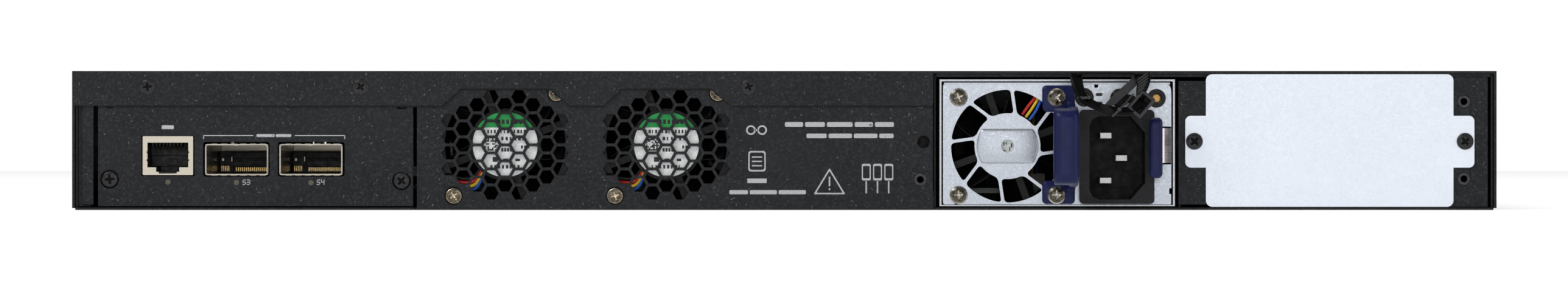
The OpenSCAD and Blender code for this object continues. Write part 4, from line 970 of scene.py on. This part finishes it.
# ------------------------------------------------------------------ fan hub labels
g = Geo()
for fx, sd in ((-86.9, 3), (-36.7, 8)):
    cz, R = 20.4, 10.15
    ya, yb = FYm + 0.42, FYm + 0.6
    a = math.asin(5.3 / R)
    g.prism([(fx + R * math.cos(a + (math.pi - 2 * a) * i / 40), cz + R * math.sin(a + (math.pi - 2 * a) * i / 40)) for i in range(41)], ya, yb, 1)
    g.prism([(fx + R * math.cos(math.pi - a + (math.pi + 2 * a) * i / 70), cz + R * math.sin(math.pi - a + (math.pi + 2 * a) * i / 70)) for i in range(71)], ya, yb, 0)
    q = random.Random(sd)
    T = 0.02
    def ink(x0, x1, z0, z1, k=2): g.prism(rect(fx + x0, fx + x1, cz + z0, cz + z1), ya - 0.02, ya + 0.01, k)
    for i in range(6): ink(-2.4 + i * 1.35, -1.5 + i * 1.35, 6.4, 7.8)
    for i in range(13): ink(-6.6 + i * 1.03, -6.6 + i * 1.03 + q.uniform(0.3, 0.75), 3.5, 4.6)
    for i in range(6): ink(-1.2 + i * 1.3, -1.2 + i * 1.3 + q.uniform(0.4, 0.95), 1.3, 2.4)
    for i in range(9):
        for j in range(9):
            if q.random() < 0.52: ink(-6.4 + i * 0.46, -5.94 + i * 0.46, -1.9 + j * 0.46, -1.44 + j * 0.46)
    for i in range(4): ink(-1.2 + i * 0.9, -0.55 + i * 0.9, -2.2, -1.1)
    for i in range(3): ink(4.9 + i * 1.0, 5.5 + i * 1.0, -1.2, -0.3)
    for i in range(8): ink(-4.6 + i * 1.2, -4.6 + i * 1.2 + q.uniform(0.35, 0.8), -7.5, -6.4)
    ink(-3.9, -2.2, -5.4, -3.9); ink(-0.6, 1.0, -5.2, -4.4); ink(3.2, 4.6, -5.2, -4.4)
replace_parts(g.build("hub_labels", LABEL_W, "chassis", slot="label_film", mats=[LABEL_W, LABEL_G, LABEL_K], smooth=False), "fan_labels")
# label on the supply fan motor, seen through the middle hole
g = Geo()
PX, PZ = 69.4, 19.9
g.prism(circ(PX, PZ, 8.2, 48), YRm + 1.3, YRm + 1.5, 0)
for i, (a, b, c, d) in enumerate(((-1.2, -0.9, 0.2, 1.3), (-0.5, -0.2, 0.5, 1.3), (0.6, 0.9, -1.4, -0.2), (1.1, 1.5, -0.4, 0.9), (-1.4, -0.4, -1.5, -1.3))):
    g.prism(rect(PX + a, PX + b, PZ + c, PZ + d), YRm + 1.27, YRm + 1.31, 1)
g.build("supply_fan_label", LABEL_W, "power_supply", slot="label_film", mats=[LABEL_W, LABEL_K], smooth=False)

# ------------------------------------------------------------------ coloured fan leads and their plugs
def lead_path(fx, i):
    z = 20.4
    a = (fx - 6.3 - i * 0.30, FYm + 1.5, z - 8.6 + i * 0.50)
    b = (fx - 9.6 - i * 0.35, FYm + 1.6, z - 13.9 + i * 1.15)
    c = (fx - 15.2, FYm + 1.6, z - 14.0 + i * 1.2)
    d = (fx - 20.4, FYm + 3.2, z - 13.4 + i * 1.2)
    e = (fx - 20.9, FYm + 14, z - 12.0 + i * 1.2)
    h = (fx - 20.6, FYm + 34, z - 6.6 + i * 1.2)
    t = (fx - 20.6, FYm + 41 + i * 1.3, z - 4.4 + i * 1.0)
    u = (fx - 20.6, FYm + 42.6 + i * 1.3, z - 8.4)
    return smooth_path([a, b, c, d, e, h, t, u], 6)


g = Geo()
for fx, nd in ((-86.9, "fan_1_leads"), (-36.7, "fan_2_leads")):
    g = Geo()
    for i in range(4):
        g.tube(lead_path(fx, i), 0.5, 10, i)
    zb = 7.4
    g.box(fx - 25, fx - 16.5, FYm + 41.6, FYm + 50, zb, zb + 4.4, 4, 0.35)
    for i in range(4): g.box(fx - 23.9 + i * 2, fx - 22.9 + i * 2, FYm + 41.4, FYm + 41.65, zb + 1.2, zb + 3.2, 5)
    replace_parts(g.build(nd + "_strands", WIRE_B, "chassis", slot="lead_wire", mats=[WIRE_B, WIRE_Y, WIRE_R, WIRE_K, NATURAL, LABEL_K]), nd)
g = Geo()
for i in range(3):
    a = (PX + 4.6 + i * 1.15, YRm + 2.3, PZ + 9.8 - i * 0.8)
    b = (PX + 6.6 + i * 1.15, YRm + 2.3, PZ + 12.6 - i * 0.8)
    c = (PX + 8.6 + i * 1.0, YRm + 2.4, PZ + 15.2 - i * 0.3)
    d = (PX + 9.9 + i * 1.2, YRm + 3.4, PZ + 18.5)
    e = (PX + 10.3 + i * 1.2, YRm + 18, PZ + 18.75)
    h = (PX + 9.2 + i * 1.2, YRm + 34, PZ + 18.0)
    t = (PX + 8.2 + i * 1.5, YRm + 38.5, PZ + 10)
    u = (PX + 7.4 + i * 1.6, YRm + 38.5, 11.1)
    g.tube(smooth_path([a, b, c, d, e, h, t, u], 6), 0.46, 10, i)
g.box(74.5, 82.5, YRm + 36, YRm + 41, 6.6, 11.2, 3, 0.35)
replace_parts(g.build("supply_fan_strands", WIRE_R, "power_supply", slot="lead_wire", mats=[WIRE_R, WIRE_Y, WIRE_B, NATURAL]), "psu_fan_leads")

# ------------------------------------------------------------------ power supply face sheet
g = Geo()
holes = []
for k in range(8):
    a, b = math.radians(76 + 45 * k), math.radians(76 + 45 * (k + 1))
    ri, ro, hw, sw = 10.25, 17.55, 0.52, math.radians(9.5)
    def pol(r, t): return Vector((PX + r * math.cos(t), PZ + r * math.sin(t)))
    def arc(r, t0, t1, n): return [pol(r, t0 + (t1 - t0) * i / n) for i in range(n + 1)]
    c1 = (ri, a + hw / ri); c2 = (ri, b - hw / ri); c3 = (ro, b + sw - hw / ro); c4 = (ro, a + sw + hw / ro)
    fi, fo = 1.5, 1.15
    inner = arc(ri, c1[1] + fi / ri, c2[1] - fi / ri, 8)
    outer = arc(ro, c3[1] - fo / ro, c4[1] + fo / ro, 14)
    P1_, P2_, P3_, P4_ = pol(*c1), pol(*c2), pol(*c3), pol(*c4)
    def bz(s, c, e, n=6): return [s * (1 - t / n) ** 2 + c * 2 * (t / n) * (1 - t / n) + e * (t / n) ** 2 for t in range(1, n)]
    s23 = P2_ + (P3_ - P2_).normalized() * fi
    e23 = P3_ + (P2_ - P3_).normalized() * fo
    s41 = P4_ + (P1_ - P4_).normalized() * fo
    e41 = P1_ + (P4_ - P1_).normalized() * fi
    o = inner + bz(inner[-1], P2_, s23) + [s23, e23] + bz(e23, P3_, outer[0]) + outer + bz(outer[-1], P4_, s41) + [s41, e41] + bz(e41, P1_, inner[0])
    holes.append([(q.x, q.y) for q in o])
mid = circ(PX, PZ, 2.0, 36)
scr = [circ(PX + a, PZ + b, 1.75, 20) for a in (-15.2, 15.2) for b in (-15.2, 15.2)]
others = [rnd(rect(93.2, 113.6, 2.2, 30.4), 0.8), rnd(rect(116.6, 120.3, 14.2, 26.0), 0.25), circ(93.3, 35.1, 2.2, 28), circ(115.7, 34.8, 2.2, 28), circ(104.2, 34.9, 2.0, 28)]
out = [(49.35, 1.75), (53.0, 1.75), (53.0, 2.25), (53.9, 2.25), (53.9, 1.75), (120.3, 1.75), (120.3, 5.0), (119.7, 5.0), (119.7, 6.8), (120.35, 6.8), (120.35, 36.6), (120.0, 39.1), (97.6, 39.1), (97.6, 38.1), (96.4, 38.1), (96.4, 39.1), (49.35, 39.1)]
plate(g, rnd(out, [0.7, 0, 0, 0, 0, 0.3, 0, 0, 0, 0, 0.5, 1.4, 0.3, 0.3, 0.3, 0.3, 0.5], 4), holes + [mid] + scr + others, YRm, YRm + 0.8)
# edge of the strip opening and folded lip tying the sheet to the roof
g.box(49.6, 120.0, YRm + 0.4, YRm + 8, 39.0, 39.75, c=0.12)
sheet = g.build("supply_face_sheet", ZINC_FACE, "power_supply", slot="bare_steel", angle=30)
soften(sheet, 0.22, 50, 3)
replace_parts(sheet, "psu_face")
# coined boss in the middle of the guard
g = Geo()
def boss(r, hz, cr):
    x = math.sqrt(r * r - hz * hz)
    a = math.asin(hz / r)
    o = [(PX + r * math.cos(-a + 2 * a * i / 12), PZ + r * math.sin(-a + 2 * a * i / 12)) for i in range(13)]
    o += [(PX + r * math.cos(math.pi - a + 2 * a * i / 12), PZ + r * math.sin(math.pi - a + 2 * a * i / 12)) for i in range(13)]
    return rnd(o, [cr if i in (0, 12, 13, 25) else 0.01 for i in range(26)], 5)
l1, l2, l3 = boss(9.62, 5.42, 0.9), boss(9.42, 5.2, 0.8), boss(9.0, 4.85, 0.7)
m = len(l1)
v = [(p[0], YRm + 0.05, p[1]) for p in l1] + [(p[0], YRm - 0.3, p[1]) for p in l2] + [(p[0], YRm - 0.45, p[1]) for p in l3]
f = [(j + s, (j + 1) % m + s, (j + 1) % m + m + s, j + m + s) for s in (0, m) for j in range(m)]
top = tessellate_polygon([[Vector((p[0], p[1], 0)) for p in l3], [Vector((p[0], p[1], 0)) for p in mid]])
c0i = len(v)
v += [(p[0], YRm - 0.45, p[1]) for p in mid] + [(p[0], YRm + 0.05, p[1]) for p in mid]
def tp(i): return 2 * m + i if i < m else c0i + i - m
f += [tuple(tp(i) for i in t) for t in top]
f += [(c0i + j, c0i + (j + 1) % 36, c0i + 36 + (j + 1) % 36, c0i + 36 + j) for j in range(36)]
bot = tessellate_polygon([[Vector((p[0], p[1], 0)) for p in l1], [Vector((p[0], p[1], 0)) for p in mid]])
def bp(i): return i if i < m else c0i + 36 + i - m
f += [tuple(bp(i) for i in t) for t in bot]
g.add(v, f)
g.build("guard_boss", ZINC_FACE, "power_supply", slot="bare_steel", angle=50)
# two short printed bars beside the lamp
g = Geo()
T = 0.02
for i, z in enumerate((36.0, 33.3)):
    g.prism(rnd(rect(96.9, 98.9, z - 0.5, z + 0.45), 0.25, 3), YRm - T, YRm + 0.02)
g.build("supply_marks", LABEL_K, "power_supply", slot="label_film", smooth=False)
# lamp bezels: dished black ring round a small lens
g = Geo()
for x, z in ((93.3, 35.1), (115.7, 34.8)):
    g.lathe(x, z, [(1.32, YRm + 0.35), (1.36, YRm - 0.18), (1.62, YRm - 0.42), (2.5, YRm - 0.55), (2.82, YRm - 0.42), (2.92, YRm - 0.12), (2.92, YRm - 0.01), (2.15, YRm), (2.15, YRm + 1.9), (1.4, YRm + 2.2), (1.32, YRm + 0.35)], 48, close=False)
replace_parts(g.build("lamp_bezels", PLASTIC, "power_supply", slot="black_plastic", angle=35), "psu_bezels")
g = Geo()
for x, z in ((93.3, 35.1), (115.7, 34.8)):
    g.lathe(x, z, [(0, YRm - 0.22), (0.5, YRm - 0.19), (1.0, YRm - 0.08), (1.28, YRm + 0.12), (1.30, YRm + 3.0), (0, YRm + 3.0)], 32)
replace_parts(g.build("lamp_lenses", AMBER, "power_supply", slot="lens"), "psu_lens")
# socket: moulded rings on the back wall and ribs at the mouth
g = Geo()
cy0 = YRm + 13.0
for r in (0.7, 1.25, 1.8):
    plate(g, circ(100.6, 16.8, r + 0.12, 28), [circ(100.6, 16.8, r - 0.1, 28)], YRm + 14.75, YRm + 15.02)
for i in range(5): g.prism(rect(106.2 + i * 0.7, 106.6 + i * 0.7, 11.6, 12.9 - (i % 2) * 0.4), YRm + 14.8, YRm + 15.02)
for i in range(8): g.prism(rect(99.6 + i * 1.0, 100.2 + i * 1.0, 6.6, 7.4), YRm + 14.8, YRm + 15.02)
g.build("socket_marks", NYLON, "power_supply", slot="black_plastic", smooth=False)

# painted shade: dark cup behind the open hole; the bulkhead that the fans stand against is also in the shade-darkened
# black
g = Geo()
g.lathe(43.3, 21.2, [(2.3, P1m + 0.02), (2.5, P1m + 0.02), (2.5, P1m + 4.2), (0, P1m + 4.2)], 28, close=False)
g.lathe(43.3, 21.2, [(0, P1m + 4.0), (2.3, P1m + 4.0), (2.3, P1m + 0.02)], 28, close=False)
g.build("hole_painted_shade_cup", FAN_BLACK_PAINTED_SHADE, "chassis", slot="black_plastic", angle=40)
g = Geo()
hs = [circ(fx, 20.4, 18.7, 48) for fx in (-86.9, -36.7)] + [rect(fx - 23.0, fx - 19.2, 5.4, 15.4) for fx in (-86.9, -36.7)]
plate(g, rect(-112, 44, 1.4, 41.2), hs, FYm + 28.1, FYm + 28.6)
g.build("fan_bulkhead", FAN_BLACK_PAINTED_SHADE, "chassis", slot="black_powder_coat", smooth=False)

# painted shade: a dark sheet over the backs of the port blocks
g = Geo()
g.prism(rect(-165, 193, 7.7, 41.2), YFm - 26.9, YFm - 26.5)
g.build("port_back_painted_shade", FAN_BLACK_PAINTED_SHADE, "chassis", slot="black_plastic", smooth=False)

# painted shadow: a dark line where the cover flange stands off the panels
g = Geo()
up = [(-213.4, 32.5), (-106.6, 32.5), (-100.7, 37.85), (-72.8, 37.85), (-66.5, 32.5), (-56.4, 32.5), (-50.5, 37.85), (-22.6, 37.85), (-16.3, 32.5), (46.2, 32.5)]
dn = [(-213.4, 32.06), (-106.4, 32.06), (-100.5, 37.42), (-73.0, 37.42), (-66.7, 32.06), (-56.2, 32.06), (-50.3, 37.42), (-22.8, 37.42), (-16.5, 32.06), (46.2, 32.06)]
for a, b, c, d in zip(up, up[1:], dn[1:], dn):
    g.prism([a, b, c, d], P0m - 0.05, P0m + 0.03)
g.build("flange_painted_shadow", FAN_BLACK_PAINTED_SHADE, "chassis", slot="black_plastic", smooth=False)


# ------------------------------------------------------------------ management jack
g = Geo()
hole = [(-198.1, 13.3), (-195.4, 13.3), (-195.4, 11.9), (-194.6, 11.9), (-194.6, 11.35), (-189.0, 11.35), (-189.0, 11.9), (-188.2, 11.9), (-188.2, 13.3), (-185.4, 13.3), (-185.4, 15.2), (-185.15, 15.2), (-185.15, 15.8), (-185.4, 15.8), (-185.4, 17.7), (-185.15, 17.7), (-185.15, 18.3), (-185.4, 18.3), (-185.4, 21.0), (-198.1, 21.0), (-198.1, 18.3), (-198.35, 18.3), (-198.35, 17.7), (-198.1, 17.7), (-198.1, 15.8), (-198.35, 15.8), (-198.35, 15.2), (-198.1, 15.2)]
plate(g, rnd(rect(-199.6, -183.9, 10.9, 23.0), 0.35), [hole], P0m - 0.3, P0m - 0.02)
for a, b, c, d in ((-199.6, -199.15, 11.0, 22.9), (-184.35, -183.9, 11.0, 22.9), (-199.1, -184.4, 22.65, 22.95), (-199.1, -184.4, 10.9, 11.2)):
    g.prism(rect(a, b, c, d), P0m, P1m + 15.6)
g.prism(rect(-199.6, -183.9, 11.0, 22.9), P1m + 15.65, P1m + 15.95)
o = g.build("jack_shield_sheet", NICKEL, "chassis", slot="nickel", angle=30)
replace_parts(soften(o, 0.12, 50, 2), "jack_shield")
g = Geo()
for i in range(8):
    x = -196.0 + i * 1.10
    g.tube([(x, P1m + 1.3, 20.35), (x, P1m + 1.5, 20.1), (x, P1m + 3.4, 19.35), (x, P1m + 8.6, 18.75), (x, P1m + 9.3, 18.85)], 0.17, 8)
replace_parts(g.build("jack_contact_wires", GOLD, "chassis", slot="gold"), "jack_contacts")
g = Geo()
for i in range(9):       # comb between the contacts, and the moulded floor of the jack
    x = -196.55 + i * 1.10
    g.prism([(x - 0.28, 20.95), (x + 0.28, 20.95), (x, 19.7)], P1m + 0.3, P1m + 9.0)
g.box(-197.9, -185.6, P1m + 10.9, P1m + 11.4, 13.5, 17.0, c=0.15)
g.box(-193.4, -189.8, P1m + 10.6, P1m + 10.95, 13.9, 15.9, c=0.12)
g.build("jack_comb", PLASTIC, "chassis", slot="black_plastic", angle=30)

# ------------------------------------------------------------------ module cages: receptacles, floor springs, roof
g = Geo()
for x in (-180.1, -157.0):
    y = P0m + 40
    g.box(x + 1, x + 18.5, y + 0.6, y + 11.4, 11.4, 18.3, 0, 0.2)
    g.box(x + 4.9, x + 18.3, y, y + 0.65, 16.0, 17.9, 0, 0.15)      # upper lip
    g.box(x + 5.6, x + 18.3, y - 0.02, y + 0.62, 11.9, 13.5, 0, 0.15)
    g.box(x + 4.6, x + 5.3, y - 0.3, y + 0.65, 11.8, 18.0, 0, 0.12)
    for i in range(19):
        xx = x + 6.1 + i * 0.63
        g.prism(rect(xx, xx + 0.26, 11.95, 13.1), y - 0.16, y + 0.1, 1)
        g.prism(rect(xx, xx + 0.24, 15.1, 15.75), y + 0.2, y + 0.75, 3)
        g.prism(rect(xx - 0.1, xx + 0.2, 17.75, 18.15), y - 0.1, y + 0.7, 3)
    for i in range(5):
        g.prism(rect(x + 1.5 + i * 0.55, x + 1.72 + i * 0.55, 12.0, 13.6), y + 0.35, y + 0.7, 1)
    g.prism(rect(x + 1.7, x + 2.3, 15.2, 16.0), y + 0.3, y + 0.7, 2)
    g.prism(rect(x + 4.72, x + 4.95, 15.0, 16.5), y - 0.36, y - 0.2, 2)
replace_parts(g.build("module_receptacles", PLASTIC, "chassis", slot="black_plastic", mats=[PLASTIC, GOLD, CAGE, EPOXY], angle=30), "qsfp_connectors")
g = Geo()
for x in (-180.1, -157.0):
    # thin rolled rim with a notch at the middle of roof and floor
    def lip(x0, x1, z0, z1):
        pts = rnd(rect(x0, x1, z0, z1), 0.8, 4)
        for ya, yb, gr in ((P0m - 0.35, P0m - 0.1, 0.0), ):
            plate(g, rnd(rect(x0 - 0.05, x1 + 0.05, z0 - 0.05, z1 + 0.05), 0.9, 5), [rnd(rect(x0 + 0.32, x1 - 0.32, z0 + 0.32, z1 - 0.32), 0.7, 5)], ya, yb)
    lip(x, x + 19.5, 10.9, 20.5)
    g.prism(rect(x + 9.1, x + 10.2, 20.03, 20.3), P0m - 0.2, P0m + 1.2)
    for i in range(6):
        xx = x + 1.8 + i * 3.0
        g.prism(rect(xx, xx + 1.9, 20.45, 20.68), P0m + 0.6, P0m + 5.2)
        g.prism(rect(xx, xx + 1.9, 10.72, 10.95), P0m + 0.6, P0m + 5.2)
g.build("cage_rims", CAGE, "chassis", slot="bare_steel", angle=30)

# ------------------------------------------------------------------ port side: stepped openings, contacts, lamps
BLK = (191, 103.5, 16, -71.5)
g = Geo()
for bx_ in BLK:
    for k in (0, 1):
        for i in range(6):
            xr = bx_ - 0.6 - i * 14 - 0.05
            xl = xr - 13.2
            xm = (xl + xr) / 2
            z0, z1 = 8.65 + 12.7 * k, 20.55 + 12.7 * k
            up = 1 if k else -1                       # latch notch: down in the lower row, up in the upper row
            def Z(t): return (z0 + t) if up < 0 else (z1 - t)
            hs = [(xm - 6.0, Z(3.4)), (xm - 3.1, Z(3.4)), (xm - 3.1, Z(2.1)), (xm - 2.05, Z(2.1)), (xm - 2.05, Z(0.9)), (xm + 2.05, Z(0.9)), (xm + 2.05, Z(2.1)), (xm + 3.1, Z(2.1)), (xm + 3.1, Z(3.4)), (xm + 6.0, Z(3.4)), (xm + 6.0, Z(11.1)), (xm - 6.0, Z(11.1))]
            if up > 0: hs = hs[::-1]
            lamps = [rect(xm - 6.0, xm - 3.7, min(Z(0.8), Z(2.3)), max(Z(0.8), Z(2.3))), rect(xm + 3.7, xm + 6.0, min(Z(0.8), Z(2.3)), max(Z(0.8), Z(2.3)))]
            plate(g, rect(xl, xr, z0, z1), [hs] + lamps, YFm - 0.5, YFm - 10.9, 0)
            g.prism(rect(xl, xr, z0, z1), YFm - 26, YFm - 11.0, 0)
            for lp in lamps:
                g.prism([(p[0] + (0.05 if p[0] < (lp[0][0] + lp[1][0]) / 2 else -0.05), p[1] + (0.05 if p[1] < (lp[0][1] + lp[2][1]) / 2 else -0.05)) for p in lp], YFm - 9, YFm - 0.35, 1)
            for c in range(8):
                xx = xm - 3.57 + c * 1.02
                s = -1 if up < 0 else 1
                zt = Z(11.1)
                g.tube([(xx, YFm - 1.6, zt + s * 0.35), (xx, YFm - 2.0, zt + s * 0.8), (xx, YFm - 9.5, zt + s * 3.0), (xx, YFm - 10.95, zt + s * 2.9)], 0.2, 6, 2)
ports = g.build("port_moulding", PLASTIC, "chassis", slot="black_plastic", mats=[PLASTIC, LENS, GOLD], angle=30)
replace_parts(ports, "port_inserts")
# shield springs on the jack openings and the small cages
g = Geo()
for bx_ in BLK:
    for i in range(6):
        xm = bx_ - 0.6 - i * 14 - 6.65
        for s in (-1, 1):
            g.prism(rect(xm + s * 3.2 - 1.1, xm + s * 3.2 + 1.1, 34.0, 34.28), YFm - 2.6, YFm + 0.12)
            g.prism(rect(xm + s * 3.2 - 1.1, xm + s * 3.2 + 1.1, 7.72, 8.0), YFm - 2.6, YFm + 0.12)
for i in range(2):
    for k in range(2):
        x0, z0 = -202 + i * 15.4, 9 + k * 10.6
        g.prism(rect(x0 + 5.6, x0 + 9.8, z0 + 0.45, z0 + 0.75), YFm - 8, YFm + 0.25)
        for c in range(3):
            g.prism(rect(x0 + 2.2 + c * 4.2, x0 + 4.4 + c * 4.2, z0 + 10.2, z0 + 10.45), YFm - 5, YFm + 0.2)
g.build("port_springs", STEEL, "chassis", slot="bare_steel", smooth=False)
# console jack: stepped opening
g = Geo()
hs = [(202.0, 24.0), (204.9, 24.0), (204.9, 22.6), (206.0, 22.6), (206.0, 21.5), (210.0, 21.5), (210.0, 22.6), (211.1, 22.6), (211.1, 24.0), (214.0, 24.0), (214.0, 31.8), (202.0, 31.8)]
plate(g, rect(200.55, 215.45, 20.55, 33.45), [hs], YFm - 0.4, YFm - 10.9, 0)
for c in range(8):
    xx = 204.43 + c * 1.02
    g.tube([(xx, YFm - 1.4, 31.5), (xx, YFm - 2.0, 31.0), (xx, YFm - 9.5, 28.8), (xx, YFm - 10.95, 28.9)], 0.2, 6, 1)
g.build("console_moulding", PLASTIC, "chassis", slot="black_plastic", mats=[PLASTIC, GOLD], angle=30)
# port numbers, front side
g = Geo()
T = 0.03
def fbar(x0, x1, z0, z1): g.prism(rect(x0, x1, z0, z1), YFm - 0.02, YFm + T)
def fdigit(d, xr, z, w, h, t=0.2):
    """digit read from the +Y side: its left edge is at +X"""
    seg = {"3": "abgcd", "4": "fgbc", "5": "afgcd", "1": "bc", "2": "abged", "6": "afgecd", "7": "abc", "8": "abcdefg", "9": "abfgcd", "0": "abcdef"}[d]
    m = z + h / 2
    for s in seg:
        a, b, c, e = {"a": (0, w, z + h - t, z + h), "g": (0, w, m - t / 2, m + t / 2), "d": (0, w, z, z + t), "f": (0, t, m, z + h), "b": (w - t, w, m, z + h), "e": (0, t, z, m), "c": (w - t, w, z, m)}[s]
        fbar(xr - b, xr - a, c, e)
n = 1
for bx_ in BLK:
    for i in range(6):
        xm = bx_ - 0.6 - i * 14 - 6.65
        for k in (1, 0):
            t = str(n)
            for j, d in enumerate(t):
                fdigit(d, xm + len(t) * 0.62 - j * 1.25, 35.0 if k else 5.6, 0.95, 1.5)
            n += 1
for i in range(2):
    for k in (1, 0):
        t = str(n)
        for j, d in enumerate(t): fdigit(d, -202 + 7.7 + 15.4 * (1 - i) + 1.24 - j * 1.25, 31.4 if k else 6.2, 0.95, 1.5)
        n += 1
g.build("port_numbers", PRINT, "chassis", slot="label_film", smooth=False)

# painted shade: a dark ribbed sheet behind the air slots of the port panel
g = Geo()
g.prism(rect(-209, 209, 36.6, 41.0), YFm - 5.4, YFm - 4.9)
for i in range(104): g.prism(rect(-208 + i * 4, -207.6 + i * 4, 36.7, 40.9), YFm - 4.95, YFm - 4.75)
g.build("slot_painted_shade", FAN_BLACK_PAINTED_SHADE, "chassis", slot="black_plastic", smooth=False)


# ------------------------------------------------------------------ stage, lights, camera
def new_mesh(name, verts, faces, mat):
    me = bpy.data.meshes.new(name)
    me.from_pydata([tuple(v) for v in verts], [], faces)
    me.materials.append(mat)
    o = bpy.data.objects.new(name, me)
    bpy.context.scene.collection.objects.link(o)
    return o


FLOOR = Mat("pale_floor", (0.86, 0.86, 0.86), rough=0.7, spec=0.2)
FLOOR.color(FLOOR.mix(FLOOR.ramp(FLOOR.noise(3, 3), [(0.3, 0.0), (0.7, 1.0)]), (0.84, 0.84, 0.845), (0.88, 0.88, 0.88)))
FLOOR.b.inputs["Emission Color"].default_value = (1, 1, 1, 1)
FLOOR.b.inputs["Emission Strength"].default_value = 0.5
FLOOR.bump(FLOOR.noise(300, 2), 0.03, 0.0002)
fl = new_mesh("floor", [(-6, -4.5, 0), (6, -4.5, 0), (6, 2.4, 0), (-6, 2.4, 0)], [(0, 1, 2, 3)], FLOOR.m)


def area(name, loc, target, size, size_y, energy, color=(1, 1, 1)):
    l = bpy.data.lights.new(name, "AREA")
    l.shape = "RECTANGLE"
    l.size = size
    l.size_y = size_y
    l.energy = energy
    l.color = color
    o = bpy.data.objects.new(name, l)
    o.location = loc
    o.rotation_euler = (Vector(target) - Vector(loc)).to_track_quat("-Z", "Y").to_euler()
    bpy.context.scene.collection.objects.link(o)
    return o


area("key", (-1.0, -1.25, 1.2), (0, -0.15, 0.02), 0.8, 0.5, 18)
area("rim_top", (0.1, 0.5, 1.5), (0, 0, 0.02), 1.4, 0.9, 6)
area("fill_right", (1.5, -1.0, 0.5), (0, -0.15, 0.02), 0.8, 0.8, 4)
area("front_low", (0.0, -3.4, 0.42), (0, -0.2, 0.02), 2.0, 0.5, 11)
w = bpy.data.worlds.new("studio")
w.use_nodes = True
bg = w.node_tree.nodes["Background"]
bg.inputs[0].default_value = (1, 1, 1, 1)
bg.inputs[1].default_value = 0.42
# plain white studio behind the object, a softer white for the light it gives
seen = w.node_tree.nodes.new("ShaderNodeBackground")
seen.inputs[0].default_value = (1, 1, 1, 1)
seen.inputs[1].default_value = 1.0
ray = w.node_tree.nodes.new("ShaderNodeLightPath")
both = w.node_tree.nodes.new("ShaderNodeMixShader")
w.node_tree.links.new(ray.outputs["Is Camera Ray"], both.inputs[0])
w.node_tree.links.new(bg.outputs[0], both.inputs[1])
w.node_tree.links.new(seen.outputs[0], both.inputs[2])
w.node_tree.links.new(both.outputs[0], w.node_tree.nodes["World Output"].inputs[0])
bpy.context.scene.world = w
bpy.context.scene.view_settings.view_transform = "Standard"
bpy.context.scene.view_settings.look = "None"

DIST = 2.0                                  # camera to rear face
FRAME_W = 2576 / 5.283 * MM                 # width of the frame at the rear face
cam = bpy.data.cameras.new("camera")
cam.sensor_fit = "HORIZONTAL"
cam.sensor_width = 36.0
cam.lens = 36.0 * DIST / FRAME_W
cam.clip_start = 0.01
cam.clip_end = 30
camera = bpy.data.objects.new("camera", cam)
camera.location = (-0.0001, YR - DIST, 0.0215)
camera.rotation_euler = (math.radians(90), 0, 0)
bpy.context.scene.collection.objects.link(camera)
bpy.context.scene.camera = camera
